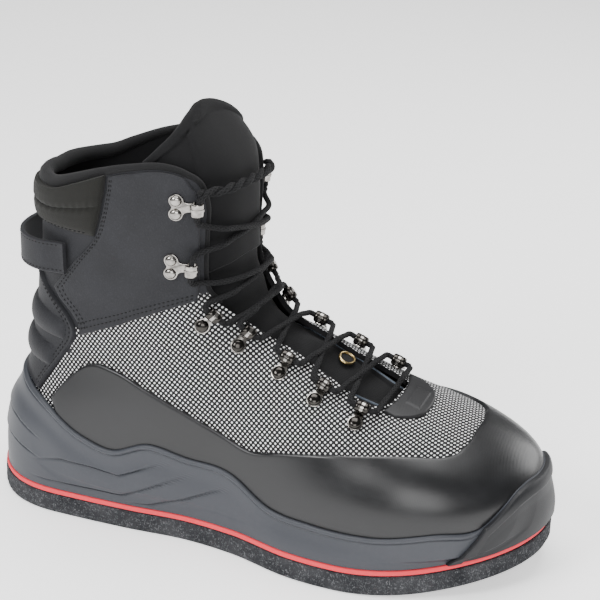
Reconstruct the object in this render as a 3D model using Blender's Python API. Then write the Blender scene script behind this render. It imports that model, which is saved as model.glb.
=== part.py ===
"""A right-foot wading boot with a felt sole, standing empty on a floor.

X runs from heel to toe, -Y is the outer side, Z is up. The origin is on the floor under the heel's rest.
Every curved piece is worked out from one form, the last: a foot blended into a shaft. Each piece is a
skin between two distances from that form, laid between borders that are given as short tables.
"""
import math

import bmesh
import bpy
import numpy as np

# Driving dimensions, in metres
SOLE_LENGTH = 0.325
SOLE_WIDTH = 0.126
COLLAR_HEIGHT = 0.216
INSTEP_HEIGHT = 0.120
ANKLE_WIDTH = 0.080
TONGUE_HEIGHT = 0.245
TOE_SPRING = 0.015
HEEL_LIFT = 0.0035
FELT = 0.0115
STRIP = 0.003
FOREFOOT_STACK = 0.009
HEEL_RAISE = 0.010
UPPER_WALL = 0.0028
PANEL = 0.0013
PADDING = 0.0035
TONGUE_THICKNESS = 0.006
INSOLE_THICKNESS = 0.004
RUBBER_LIP = 0.0028
BEAD = 0.0009
RUBBER_INSET = 0.0012
BUMPER = 0.0014
COUNTER_RIB = 0.0028
SIDE_RIB = 0.0010
STRAP_WIDTH = 0.018
STRAP_THICKNESS = 0.0025
STRAP_REACH = 0.0095
ROLL = 0.0052
LACE = 0.0036
TUBE_LENGTH = 0.0075
METAL = 0.0010
RIVET = 0.0038
LOOP_NECK = 0.0015
HOOK_NECK = 0.0020
FELT_BEVEL = 0.0012
RIB_WIDTH = 0.0016
KEEPER_WIDTH = 0.0096
KEEPER_LENGTH = 0.0132

# Clearances, in metres
GAP = 0.00035
LAY = 0.0010
CUP_GAP = 0.0012
RIM_GAP = 0.0012
SEAT = 0.0009

# The form's own sizes, in metres
HEEL_START = 0.003
HEEL_INSET = 0.023
TOE_INSET = 0.007
HEEL_ROUND = 0.040
TOE_ROUND = 0.070
SIDE_HEIGHT = 0.042
TOE_TIP = 0.012
INSTEP_BLEND = 0.026
SHAFT_TURN = 0.10
SHAFT_AXIS = 0.090
HEEL_REST = 0.055

# How finely the pieces are divided
COLUMNS = 48
ROWS = 9

# The sole's plan. Share of the sole's length from the heel; outer and inner edge, shares of half its width
SOLE_PLAN = (
    (0.00, 0.74, 0.76),
    (0.15, 0.78, 0.75),
    (0.30, 0.78, 0.68),
    (0.42, 0.75, 0.68),
    (0.50, 0.80, 0.79),
    (0.62, 0.97, 0.95),
    (0.70, 1.00, 1.00),
    (0.80, 0.96, 1.00),
    (0.90, 0.86, 0.97),
    (1.00, 0.76, 0.90),
)

# Sections across the foot. Share of the sole's length; outer and inner half width, shares of half the
# sole's width; top, share of the instep's height
FOOT = (
    (0.05, 0.62, 0.62, 0.60),
    (0.20, 0.66, 0.64, 0.78),
    (0.35, 0.68, 0.63, 1.04),
    (0.45, 0.71, 0.66, 1.06),
    (0.55, 0.79, 0.74, 0.99),
    (0.65, 0.88, 0.84, 0.86),
    (0.75, 0.90, 0.89, 0.750),
    (0.85, 0.84, 0.89, 0.675),
    (1.00, 0.72, 0.83, 0.600),
)

# Level sections of the shaft. Height, share of the collar's; back and front, shares of the sole's
# length; outer and inner half width, shares of half the ankle's width
SHAFT = (
    (0.05, 0.050, 0.430, 0.97, 0.97),
    (0.20, 0.053, 0.440, 1.02, 1.00),
    (0.33, 0.064, 0.455, 1.00, 1.00),
    (0.43, 0.074, 0.465, 0.97, 0.97),
    (0.55, 0.088, 0.468, 0.96, 0.96),
    (0.66, 0.095, 0.468, 0.97, 0.97),
    (0.78, 0.100, 0.470, 0.99, 0.99),
    (0.90, 0.108, 0.468, 1.03, 1.02),
    (1.00, 0.118, 0.455, 1.04, 1.03),
    (1.13, 0.128, 0.380, 0.85, 0.82),
)

# The edge of throat and collar. Share of the way from toe to heel; outer and inner x, shares of the
# sole's length; outer and inner y, shares of half the ankle's width; height, share of the collar's
TOP_LINE = (
    (0.00, 0.735, 0.735, -0.07, 0.07, 0.410),
    (0.08, 0.729, 0.733, 0.28, 0.38, 0.412),
    (0.14, 0.707, 0.712, 0.47, 0.44, 0.423),
    (0.22, 0.633, 0.640, 0.43, 0.40, 0.474),
    (0.30, 0.556, 0.560, 0.39, 0.38, 0.532),
    (0.36, 0.511, 0.513, 0.43, 0.42, 0.563),
    (0.40, 0.478, 0.482, 0.56, 0.52, 0.602),
    (0.44, 0.452, 0.462, 0.69, 0.64, 0.636),
    (0.48, 0.429, 0.448, 0.78, 0.76, 0.680),
    (0.54, 0.427, 0.446, 0.78, 0.78, 0.824),
    (0.58, 0.427, 0.450, 0.77, 0.78, 0.895),
    (0.61, 0.417, 0.446, 0.81, 0.80, 0.944),
    (0.64, 0.396, 0.425, 0.89, 0.88, 0.968),
    (0.69, 0.363, 0.380, 0.97, 0.97, 0.982),
    (0.76, 0.308, 0.312, 1.04, 1.02, 0.970),
    (0.83, 0.255, 0.255, 1.04, 1.03, 0.944),
    (0.89, 0.203, 0.203, 0.98, 0.97, 0.910),
    (0.95, 0.158, 0.158, 0.75, 0.75, 0.882),
    (1.00, 0.115, 0.115, 0.00, 0.00, 0.872),
)

# The roll and binding on that edge. Share of the way from toe to heel; radius, share of the roll's
ROLL_SHAPE = ((0.44, 0.27), (0.58, 0.31), (0.69, 0.38), (0.80, 0.50), (0.90, 0.85), (1.00, 1.00))

# The rubber's top edge. Share of the way from toe to heel; height, share of the collar's
RIM = (
    (0.000, 0.275),
    (0.070, 0.275),
    (0.105, 0.264),
    (0.140, 0.235),
    (0.175, 0.195),
    (0.240, 0.186),
    (0.320, 0.160),
    (0.400, 0.157),
    (0.455, 0.168),
    (0.500, 0.225),
    (0.560, 0.243),
    (0.610, 0.262),
    (0.660, 0.226),
    (0.705, 0.247),
    (0.770, 0.304),
    (0.850, 0.338),
    (1.000, 0.360),
)

# How the rubber's wall leans in. Share of its height; share of the sole's overhang kept
RUBBER_PROFILE = (
    (0.00, 1.00),
    (0.20, 0.96),
    (0.40, 0.78),
    (0.60, 0.48),
    (0.80, 0.20),
    (1.00, 0.00),
)

# The rand's top edge. Share of the way from toe to heel; outer and inner x, shares of the sole's length;
# outer and inner y, shares of half the sole's width; height, share of the collar's
RAND_TOP = (
    (0.000, 0.871, 0.871, -0.05, 0.05, 0.363),
    (0.060, 0.871, 0.871, 0.14, 0.22, 0.358),
    (0.110, 0.866, 0.866, 0.26, 0.35, 0.352),
    (0.160, 0.858, 0.858, 0.37, 0.46, 0.345),
    (0.200, 0.840, 0.840, 0.47, 0.57, 0.344),
    (0.250, 0.797, 0.797, 0.58, 0.65, 0.348),
    (0.300, 0.751, 0.751, 0.67, 0.70, 0.348),
    (0.350, 0.698, 0.698, 0.76, 0.74, 0.344),
    (0.400, 0.640, 0.640, 0.80, 0.76, 0.332),
    (0.440, 0.588, 0.588, 0.80, 0.74, 0.317),
    (0.480, 0.532, 0.532, 0.77, 0.70, 0.300),
    (0.520, 0.468, 0.468, 0.73, 0.68, 0.328),
    (0.570, 0.400, 0.400, 0.73, 0.68, 0.369),
    (0.620, 0.330, 0.330, 0.72, 0.68, 0.410),
    (0.660, 0.280, 0.280, 0.69, 0.67, 0.436),
    (0.685, 0.240, 0.240, 0.67, 0.65, 0.443),
    (0.707, 0.212, 0.212, 0.66, 0.64, 0.424),
    (0.729, 0.176, 0.176, 0.67, 0.65, 0.372),
    (0.750, 0.152, 0.152, 0.68, 0.66, 0.323),
)

# Borders of the ankle panel, round the shaft's axis. Degrees from straight back; height, share of the
# collar's. Rear and front run upwards, foot and head run forwards
PANEL_REAR = ((57.9, 0.504), (56.0, 0.537), (50.0, 0.565), (42.0, 0.590), (37.5, 0.616), (44.5, 0.654),
              (56.0, 0.708), (69.0, 0.759), (75.5, 0.795), (81.0, 0.850), (86.0, 0.915), (88.0, 0.965))
PANEL_FRONT = ((143.5, 0.650), (145.0, 0.700), (145.0, 0.800), (144.5, 0.880), (142.5, 0.930),
               (136.0, 0.972))
PANEL_FOOT = ((57.9, 0.504), (75.0, 0.532), (93.0, 0.557), (117.0, 0.599), (132.0, 0.628), (143.5, 0.650))
PANEL_HEAD = ((88.0, 0.965), (104.0, 0.982), (118.0, 0.990), (128.0, 0.988), (136.0, 0.972))

# The counter. Height, share of the collar's; half its spread, degrees
COUNTER = (
    (0.300, 36.0),
    (0.350, 39.0),
    (0.395, 43.0),
    (0.450, 49.0),
    (0.490, 53.5),
    (0.520, 53.5),
    (0.545, 49.5),
    (0.575, 41.5),
    (0.600, 33.5),
    (0.622, 27.0),
    (0.645, 19.0),
    (0.665, 9.0),
)

# The counter's ribs. Lower and upper edge at the back, then at the ends, shares of the collar's height;
# half the spread, degrees
COUNTER_RIBS = ((0.490, 0.560, 0.487, 0.522, 47.0), (0.400, 0.470, 0.405, 0.442, 40.0))

# The padded back panel. Height, share of the collar's; half its spread, degrees
BACK_PANEL = ((0.785, 72.5), (0.820, 76.5), (0.862, 80.5), (0.900, 83.5), (0.930, 85.0))

# The line inside the foot and shaft that the tongue is laid out from. Share along it; x, share of the
# sole's length; height, share of the collar's; lean of the section, degrees
SPINE = (
    (0.00, 0.806, 0.24, 0.0),
    (0.15, 0.692, 0.24, 0.0),
    (0.30, 0.569, 0.255, 5.0),
    (0.45, 0.446, 0.287, 20.0),
    (0.58, 0.345, 0.370, 45.0),
    (0.70, 0.295, 0.500, 70.0),
    (0.80, 0.277, 0.648, 85.0),
    (0.90, 0.268, 0.856, 90.0),
    (1.00, 0.268, 1.140, 90.0),
)

# The tongue. Share along the spine; half its spread, degrees
TONGUE_SPREAD = ((0.00, 18.0), (0.15, 24.0), (0.30, 29.0), (0.45, 38.0), (0.60, 50.0), (0.75, 60.0),
                 (0.90, 66.0), (1.00, 66.0))
# The tongue's top edge. Share of half its width, the outer side negative; height, share of the tongue's
TONGUE_TOP = (
    (-1.00, 0.880),
    (-0.82, 0.920),
    (-0.65, 0.948),
    (-0.41, 0.975),
    (-0.24, 0.985),
    (-0.10, 0.991),
    (0.10, 0.989),
    (0.24, 0.980),
    (0.41, 0.957),
    (0.59, 0.918),
    (1.00, 0.840),
)

# Moulded chevrons on the rubber. Corners as shares of the sole's length and the collar's height
CHEVRONS = (
    ((0.113, 0.140), (0.180, 0.167), (0.239, 0.165), (0.291, 0.156), (0.344, 0.195), (0.391, 0.230)),
    ((0.109, 0.093), (0.176, 0.094), (0.236, 0.096), (0.294, 0.096), (0.371, 0.157), (0.437, 0.209)),
    ((0.300, 0.078), (0.345, 0.082), (0.417, 0.127), (0.500, 0.190)),
)

# Rivets of the lace loops from the toe up, then those of the hooks. Outer and inner x, shares of the
# sole's length; outer and inner y, shares of half the ankle's width; outer and inner height, shares of
# the collar's
LOOPS = (
    (0.700, 0.698, 0.88, 0.82, 0.412, 0.412),
    (0.628, 0.628, 0.88, 0.80, 0.453, 0.453),
    (0.560, 0.560, 0.82, 0.74, 0.500, 0.500),
    (0.489, 0.490, 0.83, 0.70, 0.547, 0.552),
    (0.430, 0.437, 0.95, 0.84, 0.589, 0.612),
)
HOOKS = (
    (0.377, 0.395, 1.00, 0.98, 0.738, 0.728),
    (0.387, 0.404, 1.01, 1.01, 0.895, 0.880),
)

RUBBER_BLUE = (0.052, 0.056, 0.068)
LEATHER_BLACK = (0.030, 0.031, 0.036)
NUBUCK = (0.045, 0.046, 0.052)
MESH = (0.060, 0.062, 0.068)
FELT_GREY = (0.065, 0.068, 0.078)
SALMON = (0.720, 0.250, 0.230)
NICKEL = (0.620, 0.610, 0.600)
BRASS = (0.420, 0.340, 0.190)
TEXTILE = (0.035, 0.035, 0.036)


def along(table, column, at):
    """A smooth curve through one column of a table, read at places of its first column."""
    rows = np.array(table, float)
    place, value = rows[:, 0], rows[:, column]
    slope = np.gradient(value, place)
    at = np.clip(np.asarray(at, float), place[0], place[-1])
    i = np.clip(np.searchsorted(place, at) - 1, 0, len(place) - 2)
    span = place[i + 1] - place[i]
    t = (at - place[i]) / span
    return ((1 + 2 * t) * (1 - t) ** 2 * value[i] + t * (1 - t) ** 2 * span * slope[i]
            + t * t * (3 - 2 * t) * value[i + 1] + t * t * (t - 1) * span * slope[i + 1])


def border(points, share):
    """A place on a border of corners, by share of its length, as (degrees, share of height)."""
    corners = np.array(points, float)
    steps = np.linalg.norm(np.diff(corners, axis=0) * (1 / 40, 4.0), axis=1)
    place = np.append(0, np.cumsum(steps)) / steps.sum()
    return np.stack([np.interp(share, place, corners[:, k]) for k in (0, 1)], -1)


def round_end(distance, reach, power=2.35):
    """How full an end is: 0 at its tip and 1 from reach onwards."""
    t = np.clip(distance / reach, 0, 1)
    return (1 - (1 - t) ** power) ** (1 / power)


# The form

def lift(x):
    """Toe spring and heel lift: how far the sole's underside is off the floor."""
    share = np.asarray(x, float) / SOLE_LENGTH
    toe = np.clip((share - 0.70) / 0.30, 0, 1) ** 2 * TOE_SPRING
    heel = np.clip((0.09 - share) / 0.09, 0, 1) ** 2 * HEEL_LIFT
    return toe + heel


def inside_floor(x):
    """Height of the rubber's floor inside the boot."""
    raised = 1 - np.clip((np.asarray(x, float) / SOLE_LENGTH - 0.30) / 0.30, 0, 1)
    raised = raised * raised * (3 - 2 * raised)
    return FELT + STRIP + 2 * GAP + FOREFOOT_STACK + HEEL_RAISE * raised + lift(x)


def blend(a, b, reach):
    h = np.clip(0.5 + 0.5 * (b - a) / reach, 0, 1)
    return b * (1 - h) + a * h - reach * h * (1 - h)


def foot_field(x, y, z):
    share = x / SOLE_LENGTH
    half = SOLE_WIDTH / 2
    axis = 0.7 * TOE_TIP * np.clip((share - 0.5) / 0.5, 0, 1) ** 1.5
    across = y - axis
    width = np.where(across < 0, half * along(FOOT, 1, share) + axis, half * along(FOOT, 2, share) - axis)
    side = SIDE_HEIGHT + 0.8 * lift(x)
    top = INSTEP_HEIGHT * along(FOOT, 3, share) + 0.3 * lift(x) - side
    crown = np.maximum(z - side - 0.08 * across, 0) / top
    toe = np.maximum(x - (SOLE_LENGTH - TOE_INSET - TOE_ROUND), 0) / TOE_ROUND
    heel = np.maximum(HEEL_INSET + HEEL_ROUND - x, 0) / HEEL_ROUND
    tuck = 1 + 0.06 * np.clip((side - z) / 0.03, 0, 1) ** 2
    power = 2.3
    ratio = ((np.abs(across) / width * tuck) ** power + crown ** power + (toe * tuck) ** power
             + heel ** power + 1e-12) ** (1 / power)
    return (ratio - 1) * ANKLE_WIDTH / 2


def shaft_field(x, y, z):
    height = z / COLLAR_HEIGHT
    back, front = SOLE_LENGTH * along(SHAFT, 1, height), SOLE_LENGTH * along(SHAFT, 2, height)
    width = ANKLE_WIDTH / 2 * np.where(y < 0, along(SHAFT, 3, height), along(SHAFT, 4, height))
    reach = (front - back) / 2
    middle = (back + front) / 2 + SHAFT_TURN * np.clip(2 * height - 0.6, 0, 1) * y
    power = np.where(x > middle, 3.2, 2.2)
    ratio = ((np.abs(x - middle) / reach) ** power + (np.abs(y) / width) ** 2.6 + 1e-12) ** (1 / 2.4)
    return (ratio - 1) * ANKLE_WIDTH / 2


def field(points):
    """Below 0 inside the form, above 0 outside."""
    x, y, z = np.moveaxis(points, -1, 0)
    return blend(foot_field(x, y, z), shaft_field(x, y, z), INSTEP_BLEND)


def slope_of(points, step=0.0002):
    axes = np.eye(3) * step
    return np.stack([field(points + axis) - field(points - axis) for axis in axes], -1) / (2 * step)


def normals(points, level=False):
    g = slope_of(points)
    if level:
        g[..., 2] = 0
    return g / np.linalg.norm(g, axis=-1, keepdims=True)


def settle(points, level=False):
    """Moves rough points onto the form, at their own height if level."""
    p = np.array(points, float)
    for _ in range(16):
        g = slope_of(p)
        if level:
            g[..., 2] = 0
        move = field(p)[..., None] * g / np.maximum((g * g).sum(-1, keepdims=True), 0.05)
        p -= np.clip(move, -0.01, 0.01)
    return p


def cast(start, way):
    """Where rays from inside the form leave it."""
    start, way = np.broadcast_arrays(np.asarray(start, float), np.asarray(way, float))
    near, far = np.zeros(start.shape[:-1]), np.full(start.shape[:-1], SOLE_LENGTH * 0.7)
    for _ in range(34):
        middle = (near + far) / 2
        out = field(start + way * middle[..., None]) > 0
        near, far = np.where(out, near, middle), np.where(out, middle, far)
    return start + way * far[..., None]


def around(degrees, height):
    """Points on the shaft, by the angle from straight back (the outer side is positive) and the height."""
    angle = np.radians(degrees)
    start = np.stack(np.broadcast_arrays(SHAFT_AXIS, 0.0, height), -1)
    way = np.stack([-np.cos(angle), -np.sin(angle), 0 * angle], -1)
    return cast(start, way)


def from_spine(share, degrees):
    """Points on the top of the foot and front of the shaft, by the share along the spine and the angle."""
    x, height, lean = (along(SPINE, k, share) for k in (1, 2, 3))
    lean, angle = np.radians(lean), np.radians(degrees)
    start = np.stack(np.broadcast_arrays(x * SOLE_LENGTH, 0.0, height * COLLAR_HEIGHT), -1)
    ahead, over = np.cos(angle) * np.sin(lean), np.cos(angle) * np.cos(lean)
    way = np.stack(np.broadcast_arrays(ahead, -np.sin(angle), over), -1)
    return cast(start, way)


def raised(points, height, level=False):
    """Points on the form, moved out by a height."""
    return points + normals(points, level) * np.asarray(height, float)[..., None]


# Columns run from the toe down the outer side to the heel, and back up the inner side

def column_shares():
    half = COLUMNS // 2
    out = np.arange(half + 1) / half
    return np.concatenate([out, out[-2:0:-1]]), np.concatenate([-np.ones(half + 1), np.ones(half - 1)])


def plan_x(share):
    place = 0.85 * (1 + np.cos(np.pi * share)) / 2 + 0.15 * (1 - share)
    return HEEL_START + (SOLE_LENGTH - HEEL_START) * place


def sole_edge(share, side, inset=0.0):
    """The sole's edge in plan."""
    x = plan_x(share)
    part = x / SOLE_LENGTH
    full = round_end(x - HEEL_START, 0.16 * SOLE_LENGTH) * round_end(SOLE_LENGTH - x, 0.32 * SOLE_LENGTH)
    tip = np.where(part > 0.5, TOE_TIP, 0.0)
    edge = np.where(side < 0, -along(SOLE_PLAN, 1, part), along(SOLE_PLAN, 2, part)) * SOLE_WIDTH / 2
    y = tip + (edge - tip) * full
    shrink = 1 - 2 * inset / SOLE_WIDTH
    middle = (HEEL_START + SOLE_LENGTH) / 2
    x = middle + (x - middle) * (1 - 2 * inset / SOLE_LENGTH)
    return np.stack([x, tip + (y - tip) * shrink, 0 * x], -1)


def edge_points(table, share, side, half_width):
    """Points of a table with x, outer and inner y, and height, settled on the form."""
    x = SOLE_LENGTH * np.where(side < 0, along(table, 1, share), along(table, 2, share))
    y = half_width * np.where(side < 0, -along(table, 3, share), along(table, 4, share))
    return settle(np.stack([x, y, COLLAR_HEIGHT * along(table, 5, share)], -1))


def feather(share, side, height):
    """Points on the form at a height, under the same columns as the sole's edge."""
    points = sole_edge(share, side)
    points[..., 1] *= 0.9
    points[..., 2] = height
    return settle(points, level=True)


def between(low, high, rows, middle=None):
    """A grid on the form between two borders, drawn towards a middle line if there is one."""
    t = np.linspace(0, 1, rows + 1)[:, None]
    middle = (low + high) / 2 if middle is None else middle
    grid = settle(low[:, None] * (1 - t) ** 2 + 2 * middle[:, None] * t * (1 - t) + high[:, None] * t ** 2)
    grid[:, 0] = low
    grid[:, -1] = high
    return grid


# Solids

def make(name, points, faces, material):
    mesh = bpy.data.meshes.new(name)
    mesh.from_pydata([tuple(p) for p in points], [], faces)
    work = bmesh.new()
    work.from_mesh(mesh)
    bmesh.ops.triangulate(work, faces=[f for f in work.faces if len(f.verts) > 3])
    bmesh.ops.recalc_face_normals(work, faces=work.faces)
    work.to_mesh(mesh)
    work.free()
    return add(name, mesh, material)


def add(name, mesh, material):
    piece = bpy.data.objects.new(name, mesh)
    bpy.context.scene.collection.objects.link(piece)
    piece.parent = BOOT
    mesh.materials.append(material)
    mesh.shade_smooth()
    mesh.set_sharp_from_angle(angle=math.radians(40))
    return piece


def finish(name, colour, roughness, metallic=0.0):
    material = bpy.data.materials.new(name)
    material.use_nodes = True
    shader = material.node_tree.nodes["Principled BSDF"]
    shader.inputs["Base Color"].default_value = (*colour, 1.0)
    shader.inputs["Roughness"].default_value = roughness
    shader.inputs["Metallic"].default_value = metallic
    return material


def skin(outer, inner, wrap=False):
    """Points and faces of a closed skin between two grids of the same size."""
    a, b = outer.shape[:2]
    points = np.concatenate([outer.reshape(-1, 3), inner.reshape(-1, 3)])
    faces = []
    last = a if wrap else a - 1
    for i in range(last):
        j = (i + 1) % a
        for k in range(b - 1):
            quad = (i * b + k, j * b + k, j * b + k + 1, i * b + k + 1)
            faces.append(quad)
            faces.append(tuple(a * b + v for v in reversed(quad)))
        for k in (0, b - 1):
            faces.append((i * b + k, j * b + k, a * b + j * b + k, a * b + i * b + k))
    if not wrap:
        for i in (0, a - 1):
            for k in range(b - 1):
                faces.append((i * b + k, i * b + k + 1, a * b + i * b + k + 1, a * b + i * b + k))
    return points, faces


def ladder(start):
    """Faces across a ring of columns, from the outer side to the inner."""
    half = COLUMNS // 2
    faces = []
    for i in range(half):
        face = [start + i, start + i + 1]
        if i + 1 < half:
            face.append(start + COLUMNS - i - 1)
        if i > 0:
            face.append(start + COLUMNS - i)
        faces.append(tuple(face))
    return faces


def stack(rings):
    """Points and faces of a solid through rings of columns, closed by a ladder at both ends."""
    points = np.concatenate(rings)
    faces = ladder(0) + ladder((len(rings) - 1) * COLUMNS)
    for r in range(len(rings) - 1):
        for i in range(COLUMNS):
            j = (i + 1) % COLUMNS
            a = r * COLUMNS
            faces.append((a + i, a + j, a + COLUMNS + j, a + COLUMNS + i))
    return points, faces


def tube(path, radius, sides=5, hint=(0.0, 0.0, 1.0)):
    """Points and faces of a round bar along a path, with flat ends."""
    path = np.asarray(path, float)
    radius = np.broadcast_to(radius, len(path))
    way = np.gradient(path, axis=0)
    way /= np.linalg.norm(way, axis=1, keepdims=True)
    cross = np.cross(way, np.asarray(hint, float))
    cross /= np.linalg.norm(cross, axis=1, keepdims=True)
    over = np.cross(cross, way)
    turn = 2 * np.pi * np.arange(sides) / sides
    ring = np.cos(turn)[None, :, None] * cross[:, None] + np.sin(turn)[None, :, None] * over[:, None]
    points = (path[:, None] + ring * radius[:, None, None]).reshape(-1, 3)
    faces = [tuple(range(sides)), tuple((len(path) - 1) * sides + k for k in range(sides))]
    for i in range(len(path) - 1):
        for k in range(sides):
            j = (k + 1) % sides
            faces.append((i * sides + k, i * sides + j, (i + 1) * sides + j, (i + 1) * sides + k))
    return points, faces


def joined(name, parts, material, operation="UNION"):
    """One solid from several, by Booleans in turn."""
    first = make(name, *parts[0], material)
    for extra in parts[1:]:
        tool = make(name + "_tool", *extra, material)
        change = first.modifiers.new("join", "BOOLEAN")
        change.operation = operation
        change.object = tool
        change.solver = "EXACT"
        view = bpy.context.evaluated_depsgraph_get()
        mesh = bpy.data.meshes.new_from_object(first.evaluated_get(view))
        old = first.data
        first.modifiers.clear()
        first.data = mesh
        bpy.data.meshes.remove(old)
        bpy.data.objects.remove(tool)
    return first


def laid(name, grid, thickness, material, under=0.0):
    """An overlay on the form, above what lies under it."""
    base = under + LAY
    thickness = np.broadcast_to(thickness, grid.shape[:2])
    inner = raised(grid, np.full(grid.shape[:2], base))
    return make(name, *skin(raised(grid, base + thickness), inner), material)


# Sole

def sole_ring(height, inset=0.0):
    share, side = column_shares()
    ring = sole_edge(share, side, inset)
    ring[:, 2] = height + lift(ring[:, 0])
    return ring


def felt_outsole(material):
    rings = [sole_ring(0.0, FELT_BEVEL), sole_ring(FELT_BEVEL), sole_ring(FELT)]
    return make("felt_outsole", *stack(rings), material)


def sole_strip(material):
    low = FELT + GAP
    inset = RUBBER_INSET / 3
    return make("sole_strip", *stack([sole_ring(low, inset), sole_ring(low + STRIP, inset)]), material)


def rim_height(share):
    return COLLAR_HEIGHT * along(RIM, 1, share)


def rubber_wall(share, side, level, extra):
    """The rubber's outer face, at a share of the height between its foot and its rim."""
    foot = sole_edge(share, side, RUBBER_INSET)
    low = FELT + STRIP + 2 * GAP + lift(foot[..., 0])
    height = low + (rim_height(share) - low) * level
    base = feather(share, side, height)
    out = normals(base, level=True)
    thin = 0.9 + 0.1 * np.clip(share / 0.2, 0, 1)
    lean = base + out * (np.clip(level * 4, 0, 1) * thin * RUBBER_LIP)[..., None]
    foot[..., 2] = height
    # Where the upper is wider than the sole, at the arch, the wall goes out to it at once
    over = np.clip(0.5 + ((foot - lean) * out).sum(-1) / 0.003, 0, 1)
    keep = along(RUBBER_PROFILE, 1, level) * over + np.clip(1 - 4 * level, 0, 1) * (1 - over)
    return lean * (1 - keep[..., None]) + foot * keep[..., None] + out * np.asarray(extra)[..., None]


def midsole(material):
    """The rubber cup: wall, beaded rim, inner wall and floor in one solid."""
    share, side = column_shares()
    # Share of the wall's height and extra thickness of each ring, up to the bead on the rim
    profile = ((0.0, 0.0), (0.25, 0.0), (0.5, 0.0), (0.75, 0.0), (0.89, 0.0), (0.92, BEAD), (0.98, BEAD))
    rings = [rubber_wall(share, side, np.full(COLUMNS, level), extra) for level, extra in profile]
    rings.append(rubber_wall(share, side, np.ones(COLUMNS), 0.0))
    floor = inside_floor(plan_x(share))
    for level, gap in ((1.0, CUP_GAP), (0.5, 1.5 * CUP_GAP), (0.0, CUP_GAP)):
        ring = feather(share, side, floor + (rim_height(share) - floor) * level)
        rings.append(raised(ring, np.full(COLUMNS, gap), level=True))
    body = stack(rings)
    ribs = []
    for corners in CHEVRONS:
        for hand in (-1.0, 1.0):
            ribs.append(chevron(corners, hand))
    return joined("midsole", [body] + ribs, material)


def share_at(x):
    """The column share whose plan x is given."""
    fine = np.linspace(0, 1, 400)
    return np.interp(-np.asarray(x), -plan_x(fine), fine)


def chevron(corners, hand):
    """One raised rib on the rubber's wall."""
    corners = np.array(corners)
    x = corners[:, 0] * SOLE_LENGTH
    share = share_at(x)
    low = FELT + STRIP + 2 * GAP + lift(x)
    level = (corners[:, 1] * COLLAR_HEIGHT - low) / (rim_height(share) - low)
    side = np.full(len(share), hand)
    half = RIB_WIDTH / (rim_height(share) - low)
    outer = [rubber_wall(share, side, level + k * half, SIDE_RIB) for k in (-0.5, 0.5)]
    inner = [rubber_wall(share, side, level + k * half, -0.6 * SIDE_RIB) for k in (-1, 1)]
    return skin(np.stack(outer, 1), np.stack(inner, 1))


def toe_bumper(material):
    """The rubber bumper round the toe, over the cup's wall."""
    spread = np.linspace(-1, 1, 19)
    side = np.where(spread < 0, -1.0, 1.0)
    levels = np.array((0.06, 0.25, 0.5, 0.86))
    reach = 0.215 - 0.045 * levels
    share = np.abs(spread)[:, None] * reach[None]
    side = np.broadcast_to(side[:, None], share.shape)
    level = np.broadcast_to(levels[None], share.shape)
    inner = rubber_wall(share, side, level, LAY + GAP)
    outer = rubber_wall(share, side, level, LAY + GAP + BUMPER)
    return make("toe_bumper", *skin(outer, inner), material)


# Upper

def upper_columns():
    """The sole's columns, with more where the throat's edge is steep."""
    share, side = column_shares()
    steep = (share > 0.42) & (share < 0.62)
    extra, hand = share[steep] + 1 / COLUMNS, side[steep]
    out = np.sort(np.concatenate([share[side < 0], extra[hand < 0]]))
    back = np.sort(np.concatenate([share[side > 0], extra[hand > 0]]))[::-1]
    return np.concatenate([out, back]), np.concatenate([-np.ones(len(out)), np.ones(len(back))])


def upper_grid():
    share, side = upper_columns()
    low = feather(share, side, inside_floor(plan_x(share)) + 2 * GAP)
    high = edge_points(TOP_LINE, share, side, ANKLE_WIDTH / 2)
    # Columns come to the throat's upright edge from behind it
    pull = np.clip(1.5 - np.abs(share - 0.55) / 0.08, 0, 1)[:, None]
    behind = high + (-0.07 * SOLE_LENGTH, 0.0, 0.0)
    behind[:, 2] = 0.4 * low[:, 2] + 0.6 * high[:, 2]
    return between(low, high, ROWS, (low + high) / 2 * (1 - pull) + behind * pull)


def upper(material):
    grid = upper_grid()
    inner = raised(grid, np.full(grid.shape[:2], -UPPER_WALL))
    inner[:, 0] = raised(grid[:, 0], np.full(len(grid), -UPPER_WALL), level=True)
    return make("upper", *skin(grid, inner, wrap=True), material)


def rand(material):
    """The coated band round the foot, which is the toe cap in front."""
    half = round(RAND_TOP[-1][0] * COLUMNS / 2)
    spread = np.arange(-half, half + 1) * 2 / COLUMNS
    share, side = np.abs(spread), np.where(spread < 0, -1.0, 1.0)
    high = edge_points(RAND_TOP, share, side, SOLE_WIDTH / 2)
    low = feather(share, side, rim_height(share) + RIM_GAP)
    return laid("rand", between(low, high, 4), PANEL, material, GAP)


def patch(rear, front, foot, head, columns, rows):
    """Degrees and heights of a grid inside four borders."""
    a = np.linspace(0, 1, columns + 1)
    b = np.linspace(0, 1, rows + 1)
    r, f = border(rear, b)[None], border(front, b)[None]
    lo, hi = border(foot, a)[:, None], border(head, a)[:, None]
    a, b = a[:, None, None], b[None, :, None]
    corners = (lo[:1] * (1 - a) * (1 - b) + lo[-1:] * a * (1 - b) + hi[:1] * (1 - a) * b + hi[-1:] * a * b)
    return r * (1 - a) + f * a + lo * (1 - b) + hi * b - corners


def ankle_panel(name, hand, material):
    places = patch(PANEL_REAR, PANEL_FRONT, PANEL_FOOT, PANEL_HEAD, 7, 9)
    degrees = -hand * places[..., 0]
    height = np.minimum(places[..., 1] * COLLAR_HEIGHT, height_round(top_edge(), degrees) - 2 * LAY)
    grid = around(degrees, height)
    return laid(name, grid, PANEL, material)


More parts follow.
